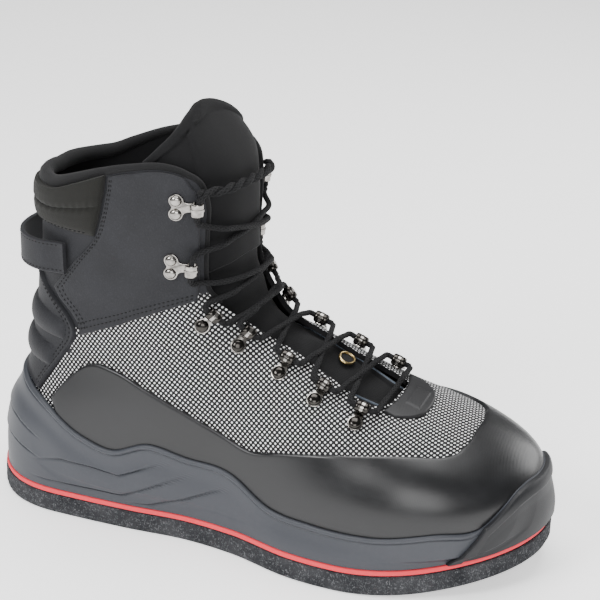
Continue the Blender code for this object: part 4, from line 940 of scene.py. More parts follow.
# Rand
# A band of smooth black coated leather goes round the foot just above the rubber. It widens over the toe
# into a seamless cap, and behind it ends in a rounded lobe. Its coating has fine slanting ribs.
PANEL, PRESSED, BACKED = 0.0013, 0.00015, 0.00005
# Share of the way from toe to heel; outer and inner x, shares of the sole's length; outer and inner y, shares
# of half the sole's width; height, share of the collar's
RAND_TOP = (
    (0.000, 0.871, 0.871, -0.05, 0.05, 0.363),
    (0.060, 0.871, 0.871, 0.14, 0.22, 0.358),
    (0.110, 0.866, 0.866, 0.26, 0.35, 0.352),
    (0.160, 0.858, 0.858, 0.37, 0.46, 0.345),
    (0.200, 0.840, 0.840, 0.47, 0.57, 0.344),
    (0.250, 0.797, 0.797, 0.58, 0.65, 0.348),
    (0.300, 0.751, 0.751, 0.67, 0.70, 0.348),
    (0.350, 0.698, 0.698, 0.76, 0.74, 0.344),
    (0.400, 0.640, 0.640, 0.80, 0.76, 0.332),
    (0.440, 0.588, 0.588, 0.80, 0.74, 0.317),
    (0.480, 0.532, 0.532, 0.77, 0.70, 0.300),
    (0.520, 0.468, 0.468, 0.73, 0.68, 0.328),
    (0.570, 0.400, 0.400, 0.73, 0.68, 0.369),
    (0.620, 0.330, 0.330, 0.72, 0.68, 0.410),
    (0.660, 0.280, 0.280, 0.69, 0.67, 0.436),
    (0.685, 0.240, 0.240, 0.67, 0.65, 0.443),
    (0.707, 0.212, 0.212, 0.66, 0.64, 0.424),
    (0.729, 0.176, 0.176, 0.67, 0.65, 0.372),
    (0.750, 0.152, 0.152, 0.68, 0.66, 0.323),
)


def spread_out(count, length, edge=(0.0003, 0.0008, 0.0015)):
    """Places from 0 to 1 along a length, with extra ones close to both ends."""
    near = np.array(edge) / length
    return np.concatenate([[0.0], near, np.linspace(0, 1, count + 1)[1:-1] * (1 - 2 * near[-1]) + near[-1],
                           1 - near[::-1], [1.0]])


def edge_distance(grid, ends=(True, True)):
    """Each point's distance from the grid's border: both ends of its columns, then of its rows."""
    near = np.full(grid.shape[:2], 1.0)
    for axis, wanted in enumerate(ends):
        if wanted:
            step = np.linalg.norm(np.diff(grid, axis=axis), axis=2)
            run = np.concatenate([np.zeros_like(step.take([0], axis)), np.cumsum(step, axis=axis)], axis)
            near = np.minimum(near, np.minimum(run, run.take([-1], axis) - run))
    return near


def overlay(grid, thickness, under=0.0, rounding=0.0013, extra=0.0):
    """An overlay pressed on the shell, with its rim rounded down to it."""
    rim = round_end(edge_distance(grid), rounding)
    give = given_way(grid)
    outer = raised(grid, give + under + PRESSED + (thickness + LAY * 0.4) * rim + extra * rim)
    return skin(outer, raised(grid, give + under + BACKED))


# Coated leather: nearly smooth, with fine slanting ribs, faint handling marks and a soft gloss
coated = Effect("coated_leather", Tint=(0.03, 0.03, 0.03), Marked=(0.05, 0.05, 0.06), Dull=0.38)
axes = coated.axes(coated.place)
slant = coated.math("MULTIPLY_ADD", axes["Z"], 0.55, axes["X"])
ribs = coated.math("SINE", coated.math("MULTIPLY", slant, 5200.0))
marks = coated.noise(55.0, 5.0, 0.6, coated.stretched((1.0, 1.0, 2.0)))
coated.put_out(coated.mix(coated.ramp(marks, 0.4, 0.75), coated.given["Tint"], coated.given["Marked"]),
               coated.math("MULTIPLY_ADD", marks, 0.18, coated.given["Dull"]),
               coated.math("MULTIPLY_ADD", ribs, 0.30, coated.noise(1600.0, 2.0, 0.5)))
black_leather = finish_of("black_coated_leather", coated, 0.08, 0.0002, 0.50, Tint=(0.0050, 0.0052, 0.0060),
                          Marked=(0.0075, 0.0078, 0.0090), Dull=0.24)
rand_spread = spread_out(300, 0.60) * 1.5 - 0.75
rand_share, rand_side = np.abs(rand_spread), np.where(rand_spread < 0, -1.0, 1.0)
rand_high = edge_points(RAND_TOP, rand_share, rand_side, SOLE_WIDTH / 2)
rand_low = feather(rand_share, rand_side, rim_height(rand_share) - 0.0030)
rand_grid = between(rand_low, rand_high, spread_out(24, 0.035))
piece("rand_band", [overlay(rand_grid, PANEL)], [black_leather], ["rand"])

# Ankle panels
# A panel of charcoal nubuck on each side of the shaft, cut in one piece from the collar to the quarter. Two
# rows of black thread hold its rear edge and its foot, and it carries the two lace hooks.
PANEL_REAR = ((57.9, 0.504), (56.0, 0.537), (50.0, 0.565), (42.0, 0.590), (37.5, 0.616), (44.5, 0.654),
              (56.0, 0.708), (69.0, 0.759), (75.5, 0.795), (81.0, 0.850), (86.0, 0.915), (88.0, 0.965))
PANEL_FRONT = ((143.5, 0.650), (145.0, 0.700), (145.0, 0.800), (144.5, 0.880), (142.5, 0.930), (136.0, 0.972))
PANEL_HEAD = ((88.0, 0.965), (104.0, 0.982), (118.0, 0.990), (128.0, 0.988), (136.0, 0.972))
THREAD, STITCH_PITCH, STITCH_LENGTH = 0.00036, 0.0027, 0.0019


def border(points, share):
    """A place on a border of corners, by share of its length, as (degrees, share of height)."""
    corners = np.array(points, float)
    steps = np.linalg.norm(np.diff(corners, axis=0) * (1 / 40, 4.0), axis=1)
    place = np.append(0, np.cumsum(steps)) / steps.sum()
    return np.stack([np.interp(share, place, corners[:, k]) for k in (0, 1)], -1)


def patch(a, b):
    """Degrees and heights inside the ankle panel's four borders."""
    r, f = border(PANEL_REAR, b)[None], border(PANEL_FRONT, b)[None]
    lo, hi = border(PANEL_FOOT, a)[:, None], border(PANEL_HEAD, a)[:, None]
    a, b = a[:, None, None], b[None, :, None]
    corners = lo[:1] * (1 - a) * (1 - b) + lo[-1:] * a * (1 - b) + hi[:1] * (1 - a) * b + hi[-1:] * a * b
    return r * (1 - a) + f * a + lo * (1 - b) + hi * b - corners


def height_round(ring, degrees):
    """Height of a ring of columns by the angle from straight back."""
    count = len(ring)
    rear = ring[count // 4: 3 * count // 4 + 1]
    angle = np.degrees(np.arctan2(-rear[:, 1], SHAFT_AXIS - rear[:, 0]))
    order = np.argsort(angle)
    return np.interp(degrees, angle[order], rear[order, 2])


top_edge = edge_points(TOP_LINE, *column_shares(192), ANKLE_WIDTH / 2)


def panel_grid(hand, a, b):
    places = patch(np.asarray(a), np.asarray(b))
    degrees = -hand * places[..., 0]
    height = np.minimum(places[..., 1] * COLLAR_HEIGHT, height_round(top_edge, degrees) - LAY)
    return around(degrees, height)


black_thread = finish_of("black_thread", knitted, 0.3, 0.0001, 0.4, Yarn=(0.0025, 0.0025, 0.0028),
                         Fluff=(0.006, 0.006, 0.007))


def seam(path, height, pitch=STITCH_PITCH, length=STITCH_LENGTH):
    """A row of stitches along a path on the last, at a height over it."""
    out = normals(path)
    lifted = path + out * (height + given_way(path))[:, None]
    return stitches(lifted, pitch, length, THREAD, out)


def sewn(name, parts, cover, node):
    """A piece whose first part is its leather or cloth, and the others its stitches."""
    return piece(name, parts, [cover] + [black_thread] * (len(parts) - 1), [node])


PANEL_TOP = PRESSED + PANEL + LAY * 0.4
PANEL_LONG, PANEL_TALL, PANEL_SEAMS = 0.085, 0.105, (0.0030, 0.0056)
for side_name, hand in (("lateral", -1.0), ("medial", 1.0)):
    grid = panel_grid(hand, spread_out(70, PANEL_LONG), spread_out(90, PANEL_TALL))
    panel_parts = [overlay(grid, PANEL)]
    fine = np.linspace(0.02, 0.985, 160)
    for inset in PANEL_SEAMS:
        rear_line = panel_grid(hand, [inset / PANEL_LONG], fine)[0]
        foot_line = panel_grid(hand, np.linspace(0.03, 0.97, 160), [inset / PANEL_TALL])[:, 0]
        panel_parts += seam(rear_line, PANEL_TOP) + seam(foot_line, PANEL_TOP)
    sewn("ankle_leather_" + side_name, panel_parts, charcoal_nubuck, "ankle_panel_" + side_name)

# Heel counter
# A moulded nubuck counter wraps the heel and stiffens it. Two padded finger ribs cross it, and its edge is
# turned over a cord and sewn with two rows of thread.
COUNTER_RIB, COUNTER_CORD, COUNTER_HALF, COUNTER_SEAMS = 0.0030, 0.0008, 0.048, (0.0036, 0.0060)
# Height, share of the collar's; half its spread, degrees
COUNTER = (
    (0.300, 36.0),
    (0.350, 39.0),
    (0.395, 43.0),
    (0.450, 49.0),
    (0.490, 53.5),
    (0.520, 53.5),
    (0.545, 49.5),
    (0.575, 41.5),
    (0.600, 33.5),
    (0.622, 27.0),
    (0.645, 19.0),
    (0.665, 9.0),
)
# Lower and upper edge at the back, then at the ends, shares of the collar's height; half the spread, degrees
COUNTER_RIBS = ((0.490, 0.560, 0.487, 0.522, 47.0), (0.400, 0.470, 0.405, 0.442, 40.0))
cup_rim = rubber_wall(*column_shares(192), 1.0)


def counter_grid(across, rows):
    heights = np.interp(rows, np.linspace(0, 1, len(COUNTER)), [row[0] for row in COUNTER])
    turn = across[:, None] * along(COUNTER, 1, heights)[None]
    height = np.broadcast_to(heights[None] * COLLAR_HEIGHT, turn.shape)
    rim = height_round(cup_rim, turn[:, 0]) + 0.0003
    drop = np.clip(1 - rows / 0.35, 0, 1)
    return turn, height + (rim - height[:, :1].ravel())[:, None] * drop[None]


turn, height = counter_grid(spread_out(130, 0.11) * 2 - 1, spread_out(90, 0.08))
grid = around(turn, height)
ribs = np.zeros(turn.shape)
for low, high, end_low, end_high, half_spread in COUNTER_RIBS:
    out_along = np.clip(np.abs(turn) / half_spread, 0, 1)
    bottom = (low + (end_low - low) * out_along ** 1.6) * COLLAR_HEIGHT
    top = (high + (end_high - high) * out_along ** 1.6) * COLLAR_HEIGHT
    middle, half_band = (top + bottom) / 2, (top - bottom) / 2 + 0.0012
    bulge = np.sqrt(np.clip(1 - ((height - middle) / half_band) ** 2, 0, 1)) ** 1.2
    close = round_end((half_spread - np.abs(turn)) / half_spread, 0.16)
    ribs = np.maximum(ribs, COUNTER_RIB * bulge * close * (np.abs(turn) < half_spread))
cord = COUNTER_CORD * np.exp(-((edge_distance(grid) - 0.0011) / 0.0007) ** 2)
counter_parts = [overlay(grid, PANEL, rounding=0.0008, extra=ribs + cord * (ribs < 0.0004))]
rows_up = np.linspace(0.03, 0.93, 200)
for inset in COUNTER_SEAMS:
    for hand in (-1.0, 1.0):
        turn, height = counter_grid(np.array([hand * (1 - inset / COUNTER_HALF)]), rows_up)
        counter_parts += seam(around(turn, height)[0], PANEL_TOP)
sewn("counter", counter_parts, charcoal_nubuck, "heel_counter")

# Back collar
# Behind the ankle panels the collar is soft: black knitted textile over foam, quilted across by one row of
# stitches, with a second row where it meets the leather below.
PADDING, LOFT, QUILT_ROWS, QUILT_PITCH, QUILT_STITCH = 0.0035, 1.15, (0.515, 0.06), 0.0029, 0.0017
# Height, share of the collar's; half its spread, degrees
BACK_PANEL = ((0.785, 72.5), (0.820, 76.5), (0.862, 80.5), (0.900, 83.5), (0.930, 85.0))
# Share of the panel's height; how full the foam is
PUFF = ((0.0, 0.10), (0.05, 0.45), (0.10, 0.68), (0.20, 0.88), (0.34, 1.0), (0.46, 0.97), (0.50, 0.84),
        (0.515, 0.76), (0.53, 0.84), (0.57, 0.98), (0.75, 1.08), (0.90, 1.02), (1.0, 0.90))
pad_textile = finish_of("pad_textile", knitted, 0.45, 0.0004, 0.25,
                        {"Sheen Weight": 0.06, "Sheen Roughness": 0.5}, Yarn=(0.0065, 0.0065, 0.0055),
                        Fluff=(0.020, 0.020, 0.016))


def back_grid(across, rows):
    heights = BACK_PANEL[0][0] + rows * (BACK_PANEL[-1][0] - BACK_PANEL[0][0])
    degrees = across[:, None] * along(BACK_PANEL, 1, heights)[None]
    top = height_round(top_edge, degrees[:, -1]) + 0.0008
    low = COLLAR_HEIGHT * BACK_PANEL[0][0]
    return around(degrees, low + (top[:, None] - low) * rows[None])


pad_across, pad_rows = np.linspace(-1, 1, 161), np.linspace(0, 1, 76)
grid = back_grid(pad_across, pad_rows)
puff = along(PUFF, 1, pad_rows)[None] * (0.30 + 0.70 * round_end(1 - np.abs(pad_across), 0.16)[:, None])
pucker = 1 + 0.05 * np.sin(pad_across[:, None] * 95) * np.exp(-((pad_rows[None] - QUILT_ROWS[0]) / 0.10) ** 2)
pucker = pucker + 0.06 * np.sin(pad_across[:, None] * 7 + 2.0) * np.sin(pad_rows[None] * 5)
outer = raised(grid, 0.0006 + LAY * 0.3 + PADDING * LOFT * puff * pucker)
pad_parts = [skin(outer, raised(grid, 0.0001))]
fine = np.linspace(-0.93, 0.93, 240)
for seam_row in QUILT_ROWS:
    lie = 0.0007 + LAY * 0.3 + PADDING * LOFT * float(along(PUFF, 1, seam_row))
    pad_parts += seam(back_grid(fine, np.array([seam_row]))[:, 0], lie, QUILT_PITCH, QUILT_STITCH)
back_pad = sewn("back_pad", pad_parts, pad_textile, "back_collar")

# Collar roll and binding
# The collar's edge is bound with black textile over a foam cord. The cord is thick at the back, where it
# curls over in a soft roll, and thin along the sides and down the throat's front edges.
ROLL = 0.0052
ROLL_SHAPE = ((0.44, 0.27), (0.58, 0.31), (0.69, 0.36), (0.80, 0.44), (0.90, 0.66), (1.00, 0.84))
edge_share, _ = upper_columns(272)
chosen = edge_share > ROLL_SHAPE[0][0]
edge = shell[chosen, -1]
out = normals(edge)
onward = unit(np.cross(np.gradient(edge, axis=0), out))
radius = ROLL * along(ROLL_SHAPE, 1, edge_share[chosen])
path = edge - out * UPPER_WALL / 2 + onward * (radius * 0.80)[:, None]
run = run_along(path)
soft = 1 + 0.05 * np.sin(run * 330) * np.clip((radius - 0.003) / 0.002, 0, 1) + 0.02 * np.sin(run * 90 + 1)
tips = round_end(np.minimum(run, run[-1] - run), 0.003)
binding_textile = finish_of("binding_textile", knitted, 0.45, 0.0003, 0.25,
                            {"Sheen Weight": 0.05, "Sheen Roughness": 0.5}, Yarn=(0.0060, 0.0060, 0.0065),
                            Fluff=(0.021, 0.021, 0.022))
roll = piece("collar_binding", [tube(path, radius * soft * (0.3 + 0.7 * tips), 24, out)], [binding_textile],
             ["collar_roll"])

# Tongue
# A padded tongue of black textile rises out of the throat to the boot's highest point. Its edge is bound, a
# stiffer panel is sewn on its front, and thin blue-grey pipings run down the folds on both sides of it.
TONGUE_THICKNESS, TONGUE_BINDING, TONGUE_BOUND, TONGUE_PANEL = 0.006, 0.0070, 0.0015, 0.0019
TONGUE_FOLD, PIPING = 0.0006, 0.0009
# Share along it; x, share of the sole's length; height, share of the collar's; lean of the section, degrees
SPINE = (
    (0.00, 0.806, 0.24, 0.0),
    (0.15, 0.692, 0.24, 0.0),
    (0.30, 0.569, 0.255, 5.0),
    (0.45, 0.446, 0.287, 20.0),
    (0.58, 0.345, 0.370, 45.0),
    (0.70, 0.295, 0.500, 70.0),
    (0.80, 0.277, 0.648, 85.0),
    (0.90, 0.268, 0.856, 90.0),
    (1.00, 0.268, 1.140, 90.0),
)
# Share along the spine; half its spread, degrees
TONGUE_SPREAD = ((0.00, 18.0), (0.15, 24.0), (0.30, 29.0), (0.45, 38.0), (0.60, 50.0), (0.75, 60.0),
                 (0.90, 66.0), (1.00, 66.0))
# Share of half its width, the outer side negative; height of the top edge, share of the tongue's
TONGUE_TOP = (
    (-1.00, 0.880),
    (-0.82, 0.920),
    (-0.65, 0.948),
    (-0.41, 0.975),
    (-0.24, 0.985),
    (-0.10, 0.991),
    (0.10, 0.989),
    (0.24, 0.980),
    (0.41, 0.957),
    (0.59, 0.918),
    (1.00, 0.840),
)


def from_spine(share, degrees):
    """Points on the top of the foot and front of the shaft, by the share along the spine and the angle."""
    x, height, lean = (along(SPINE, k, share) for k in (1, 2, 3))
    lean, angle = np.radians(lean), np.radians(degrees)
    start = np.stack(np.broadcast_arrays(x * SOLE_LENGTH, 0.0, height * COLLAR_HEIGHT), -1)
    forward, upward = np.cos(angle) * np.sin(lean), np.cos(angle) * np.cos(lean)
    return cast(start, np.stack(np.broadcast_arrays(forward, -np.sin(angle), upward), -1))


def tongue_grid(turn, rows):
    high = along(TONGUE_TOP, 1, turn) * TONGUE_HEIGHT / COLLAR_HEIGHT
    spine = np.array(SPINE)
    end = np.interp(high, spine[:, 2], spine[:, 0])
    fine = np.linspace(0, 1, 200)
    line = from_spine(fine, 0 * fine)
    reach = run_along(line)
    share = np.interp(np.interp(end, fine, reach)[:, None] * rows, reach, fine)
    return from_spine(share, -turn[:, None] * along(TONGUE_SPREAD, 1, share))


tongue_turn = spread_out(76, 0.10, (0.0006, 0.0016, 0.0030)) * 2 - 1
tongue_rows = spread_out(150, 0.32, (0.0006, 0.0016, 0.0030))
grid = tongue_grid(tongue_turn, tongue_rows)
under = UPPER_WALL + LAY + GAP
near = edge_distance(grid)
bound = TONGUE_BOUND * soft_step(TONGUE_BINDING - near, 0.0002)
row_at = np.broadcast_to(tongue_rows[None], grid.shape[:2])
turn_at = np.broadcast_to(tongue_turn[:, None], grid.shape[:2])
# The sewn panel: a shield on the upper half, a little to the inner side
panel_reach = np.minimum((0.62 - np.abs(turn_at - 0.12)) * 0.045, (row_at - 0.60) * 0.30)
panel_reach = np.minimum(panel_reach, (0.985 - row_at + 0.10 * (turn_at + 0.25)) * 0.25)
front_panel = TONGUE_PANEL * soft_step(panel_reach, 0.00018)
folded = np.clip((row_at - 0.30) / 0.05, 0, 1) * np.clip((0.62 - row_at) / 0.05, 0, 1)
cross_folds = TONGUE_FOLD * np.sin(row_at * 62) * folded
thick = TONGUE_THICKNESS * (0.45 + 0.55 * round_end(1 - np.abs(tongue_turn), 0.5))[:, None]
half_rim = round_end(near, 0.0030)
relief = (bound + front_panel + cross_folds - 0.0009) * half_rim
outer = raised(grid, -under - thick * 0.5 * (1 - half_rim) + relief)
inner = raised(grid, -under - thick * (0.5 + 0.5 * half_rim))
tongue_parts = [skin(outer, inner)]
tongue_textile = finish_of("tongue_textile", knitted, 0.35, 0.0003, 0.25, {"Sheen Weight": 0.03},
                           Yarn=(0.0038, 0.0038, 0.0043), Fluff=(0.0105, 0.0105, 0.0115))
piping_cloth = finish_of("piping_cloth", knitted, 0.3, 0.0002, Yarn=(0.055, 0.070, 0.090),
                         Fluff=(0.12, 0.14, 0.17))
tongue_materials = [tongue_textile]
for pipe_turn in (-0.78, 0.78):
    rows = np.linspace(0.12, 0.66, 120)
    line = tongue_grid(np.array([pipe_turn, pipe_turn + 0.01]), rows)[0]
    tongue_parts.append(tube(raised(line, -under + 0.0002), PIPING, 10, normals(line)))
    tongue_materials.append(piping_cloth)
seam_start = len(tongue_parts)
line = tongue_grid(np.array([-0.42, -0.41]), np.linspace(0.62, 0.88, 90))[0]
tongue_parts += seam(line, -under + 0.0001)
tongue_materials += [black_thread] * (len(tongue_parts) - seam_start)
tongue = piece("padded_tongue", tongue_parts, tongue_materials, ["tongue"])

# Tongue keeper
# An oval brass-rimmed eye is pressed into the tongue on its middle line. The lace can be tucked through it.
keeper_centre = from_spine(np.array([0.222]), np.array([-9.0]))[0]
KEEPER_LONG, KEEPER_WIDE, EYE_SIDES = 0.0066, 0.0048, 56


def draped(seat_frame, local, under):
    """Points given as (towards the edge, along the edge, height), laid on the last."""
    point, way, along_edge = seat_frame
    local = np.asarray(local, float)
    flat = point + local[..., :1] * way + local[..., 1:2] * along_edge
    return raised(settle(flat), under + local[..., 2])


def lathe_faces(sides, rings, close=(True, True)):
    faces = []
    for r in range(rings - 1):
        for k in range(sides):
            j = (k + 1) % sides
            faces.append((r * sides + k, r * sides + j, (r + 1) * sides + j, (r + 1) * sides + k))
    if close[0]:
        faces.append(tuple(range(sides)))
    if close[1]:
        faces.append(tuple((rings - 1) * sides + k for k in range(sides)))
    return faces


# Plated metal: bright, with tarnish in soft clouds and fine rubbing marks
plated = Effect("plated_metal", Plate=(0.6, 0.6, 0.6), Tarnish=(0.3, 0.3, 0.3), Dull=0.2)
clouds = plated.noise(260.0, 4.0, 0.6)
plated.put_out(plated.mix(plated.ramp(clouds, 0.4, 0.75), plated.given["Plate"], plated.given["Tarnish"]),
               plated.math("MULTIPLY_ADD", clouds, 0.16, plated.given["Dull"]),
               plated.noise(2200.0, 2.0, 0.6, plated.stretched((1.0, 0.25, 1.0))))
brass = finish_of("brass_rim", plated, 0.05, 0.0001, also={"Metallic": 1.0}, Plate=(0.62, 0.47, 0.22),
                  Tarnish=(0.22, 0.16, 0.08), Dull=0.22)
keeper_frame = (keeper_centre, np.array((0.94, 0.0, -0.34)), np.array((0.0, 1.0, 0.0)))
eye_turn = 2 * np.pi * np.arange(EYE_SIDES) / EYE_SIDES
def eye_ring(size, height):
    """An oval of points round the eye, at a share of its size and a height over the tongue."""
    oval = [KEEPER_WIDE * size * np.cos(eye_turn), KEEPER_LONG * size * np.sin(eye_turn)]
    return draped(keeper_frame, np.column_stack([*oval, np.full(EYE_SIDES, height)]), -under + LAY)


EYE_BENDS = 14
eye_rings = [eye_ring(0.87 + 0.13 * math.cos(bend), 0.0004 + 0.0010 * math.sin(bend))
             for bend in np.linspace(0, 2 * np.pi, EYE_BENDS + 1)[:-1]]
eye_points = np.concatenate(eye_rings)
eye_faces = lathe_faces(EYE_SIDES, EYE_BENDS, (False, False))
for k in range(EYE_SIDES):
    j = (k + 1) % EYE_SIDES
    eye_faces.append(((EYE_BENDS - 1) * EYE_SIDES + k, (EYE_BENDS - 1) * EYE_SIDES + j, j, k))
well = [eye_ring(size, height) for size, height in ((0.80, -0.0010), (0.80, 0.0002), (0.40, -0.0001))]
piece("keeper_eye", [(eye_points, eye_faces), (np.concatenate(well), lathe_faces(EYE_SIDES, 3))],
      [brass, tongue_textile], ["tongue_keeper"])

# Throat tab
# A shield of black coated leather closes the foot of the throat and takes the pull of the lowest lace. A
# small raised oblong, left bare, is moulded on its front.
LABEL_LONG, LABEL_WIDE, LABEL_RISE = 0.0090, 0.0040, 0.0004
LABEL_PLACE = (0.2490, 0.003)


def tab_grid(across, rows):
    inner_x = SOLE_LENGTH * (TOP_LINE[0][1] + 0.006)
    reach = 0.0165 - 0.010 * np.abs(across) ** 4
    x = inner_x + reach[:, None] * rows[None] - 0.004 * across[:, None] ** 2
    y = np.broadcast_to(across[:, None] * 0.55 * ANKLE_WIDTH / 2 + 0.003, x.shape)
    return cast(np.stack([x, y, np.full(x.shape, SIDE_HEIGHT)], -1), np.array((0.0, 0.0, 1.0)))


grid = tab_grid(spread_out(110, 0.045) * 2 - 1, spread_out(44, 0.017))
label_x, label_y = (np.abs(grid[..., k] - LABEL_PLACE[k]) for k in (0, 1))
label = np.maximum(label_x / LABEL_WIDE, label_y / LABEL_LONG)
label_rise = LABEL_RISE * soft_step((1 - label) * LABEL_WIDE, 0.00018)
matt_leather = finish_of("matt_coated_leather", coated, 0.12, 0.0002, 0.45, Tint=(0.0050, 0.0050, 0.0060),
                         Marked=(0.0080, 0.0080, 0.0095), Dull=0.40)
piece("throat_shield", [overlay(grid, PANEL, extra=label_rise)], [matt_leather], ["throat_tab"])

# Pull strap
# A strap of doubled nubuck is sewn into the seams on both sides of the heel and stands off behind the collar
# as a sling, wide enough for two fingers.
STRAP_WIDTH, STRAP_THICKNESS, STRAP_REACH, SEAT = 0.018, 0.0025, 0.0095, 0.0009


def strap_grid(turn, across):
    """The strap's inner face, across its width from -1 to 1."""
    centre = COLLAR_HEIGHT * (0.700 + 0.010 * np.abs(turn) ** 2)
    stand = LAY + STRAP_REACH * (1 - np.abs(turn) ** 2.4) ** 1.1
    grid = np.stack([around(turn * 50.0, centre + k * STRAP_WIDTH / 2) for k in across], 1)
    middle = around(turn * 50.0, centre)
    out = normals(middle, level=True)
    inner = np.stack([middle + out * stand[:, None] + (0, 0, k * STRAP_WIDTH / 2) for k in across], 1)
    rest = raised(grid, LAY + PANEL)
    close = np.clip((np.abs(turn) - 0.75) / 0.25, 0, 1)[:, None, None]
    return inner * (1 - close) + rest * close, out


STRAP_SEAM = 0.80
strap_turn = np.linspace(-1, 1, 141)
strap_across = np.array((0.2, 0.4, 0.6, 0.8, 0.88, 0.94, 0.985, 1.0))
strap_across = np.concatenate([-strap_across[::-1], [0.0], strap_across])
inner, out = strap_grid(strap_turn, strap_across)
crown = round_end(1 - np.abs(strap_across), 0.09)[None, :, None]
welt = 1 - 0.10 * np.exp(-((np.abs(strap_across) - STRAP_SEAM) / 0.05) ** 2)[None, :, None]
half = STRAP_THICKNESS / 2
mid = inner + out[:, None] * half
strap_parts = [skin(mid + out[:, None] * half * crown * welt, mid - out[:, None] * half * crown)]
even = np.linspace(0, 1, 200)
hints = np.stack([np.interp(even, np.linspace(0, 1, len(out)), out[:, k]) for k in range(3)], -1)
for edge_at in (STRAP_SEAM, -STRAP_SEAM):
    line, _ = strap_grid(np.linspace(-0.97, 0.97, 200), np.array([edge_at]))
    line = line[:, 0] + hints * (STRAP_THICKNESS * 0.93)
    strap_parts += stitches(line, STITCH_PITCH, STITCH_LENGTH, THREAD, hints)
sewn("pull_strap", strap_parts, charcoal_nubuck, "pull_loop")

# Lace loops
# Five loops of plated steel a side, from the toe up. Each is a strip folded round two short tubes for the
# lace, with its two leaves held together and to the boot by one dark domed rivet.
LACE, TUBE_LENGTH, METAL, RIVET = 0.0036, 0.0075, 0.0010, 0.0038
TUBE_RADIUS = LACE / 2 + GAP + METAL
TUBE_REACH, SLEEVE_HEIGHT = RIVET + 0.0015 + TUBE_RADIUS, METAL * 0.6 + TUBE_RADIUS
# Rivets from the toe up. Outer and inner x, shares of the sole's length; outer and inner y, shares of half
# the ankle's width; outer and inner height, shares of the collar's
LOOPS = (
    (0.700, 0.698, 0.88, 0.82, 0.412, 0.412),
    (0.628, 0.628, 0.88, 0.80, 0.453, 0.453),
    (0.560, 0.560, 0.82, 0.74, 0.500, 0.500),
    (0.489, 0.490, 0.83, 0.70, 0.547, 0.552),
    (0.430, 0.437, 0.95, 0.84, 0.589, 0.612),
)
HOOKS = (
    (0.377, 0.395, 1.00, 0.98, 0.738, 0.728),
    (0.387, 0.404, 1.01, 1.01, 0.895, 0.880),
)
coarse_edge = edge_points(TOP_LINE, *column_shares(48), ANKLE_WIDTH / 2)


def seat(row, hand, first):
    """Where a fitting is riveted: the point, the way to the throat's edge and the way along it."""
    x, y, height = row[0::2] if hand < 0 else row[1::2]
    rough = np.array([(SOLE_LENGTH * x, ANKLE_WIDTH / 2 * y * hand, COLLAR_HEIGHT * height)])
    point = settle(rough, steps=16)[0]
    share, side = column_shares(48)
    line = coarse_edge[(side * hand > 0) & (share < 0.62) & (share > first)]
    fine = np.linspace(0, len(line) - 1, 400)
    line = np.stack([np.interp(fine, np.arange(len(line)), line[:, k]) for k in range(3)], -1)
    nearest = line[np.argmin(np.linalg.norm(line - point, axis=1))]
    out = normals(point[None])[0]
    way = nearest - point
    way = way / np.linalg.norm(way) + (0.0, -0.6 * hand, 0.0)
    way -= out * way.dot(out)
    way /= np.linalg.norm(way)
    return point, way, np.cross(out, way)


# Share of a rivet's radius, and of its height
DOME = ((1.0, 0.0), (1.0, 0.12), (0.98, 0.25), (0.93, 0.45), (0.82, 0.68), (0.64, 0.86), (0.40, 0.96),
        (0.15, 1.0))


def dome(seat_frame, centre, size, low, tall, under, sides=28):
    """A domed rivet head with a rolled foot."""
    turn = 2 * np.pi * np.arange(sides) / sides
    rings = []
    for spread, height in DOME:
        x, y = centre[0] + size * spread * np.cos(turn), centre[1] + size * spread * np.sin(turn)
        rings.append(np.column_stack([x, y, np.full(sides, low + tall * height)]))
    return draped(seat_frame, np.concatenate(rings), under), lathe_faces(sides, len(rings))


def leaf(seat_frame, outline, low, high, under, soft=0.00035):
    """A flat leaf of any outline, with its edges rounded over."""
    outline = np.asarray(outline, float)
    count = len(outline)
    around_it = np.roll(outline, -1, 0) - np.roll(outline, 1, 0)
    inward = unit(np.column_stack([-around_it[:, 1], around_it[:, 0]]))
    rings = []
    for inset, height in ((0.0, low), (0.0, high - soft), (soft * 0.3, high - soft * 0.3), (soft, high)):
        rings.append(np.column_stack([outline + inward * inset, np.full(count, height)]))
    return draped(seat_frame, np.concatenate(rings), under), lathe_faces(count, len(rings))


def smooth_outline(corners, steps=8):
    """A closed outline that rounds off the given corners."""
    corners = np.asarray(corners, float)
    before, after = (np.roll(corners, 1, 0) + corners) / 2, (np.roll(corners, -1, 0) + corners) / 2
    t = np.linspace(0, 1, steps + 1)[:-1][None, :, None]
    curve = before[:, None] * (1 - t) ** 2 + 2 * corners[:, None] * t * (1 - t) + after[:, None] * t ** 2
    return curve.reshape(-1, 2)


def lace_tube(seat_frame, reach, radius, wall, under, arc=360.0, turn=0.0, sides=28, beads=0.0,
              long=TUBE_LENGTH):
    """The sleeve that the lace runs through, whole or slit, with rolled ends and rounded beads."""
    angles = np.radians(turn + arc * np.arange(sides + (arc < 360)) / sides)
    shares = np.array((0.02, 0.06, 0.14, 0.22, 0.30, 0.38, 0.45, 0.485, 0.5))
    shares = np.concatenate([-shares[::-1], shares])
    roll_in = round_end(0.5 - np.abs(shares), 0.06)
    swell = beads * (np.abs(np.sin(2 * np.pi * shares)) ** 0.5 - 0.6)
    outside = radius - wall * 0.6 * (1 - roll_in) + swell
    r = np.stack([outside, np.full(len(shares), radius - wall)])[:, None]
    turned = angles[None, :, None]
    local = np.stack(np.broadcast_arrays(reach + r * np.cos(turned), shares[None, None] * long,
                                         SLEEVE_HEIGHT + r * np.sin(turned)), -1)
    outer, inner = draped(seat_frame, local, under)
    return skin(outer, inner, wrap=arc >= 360)


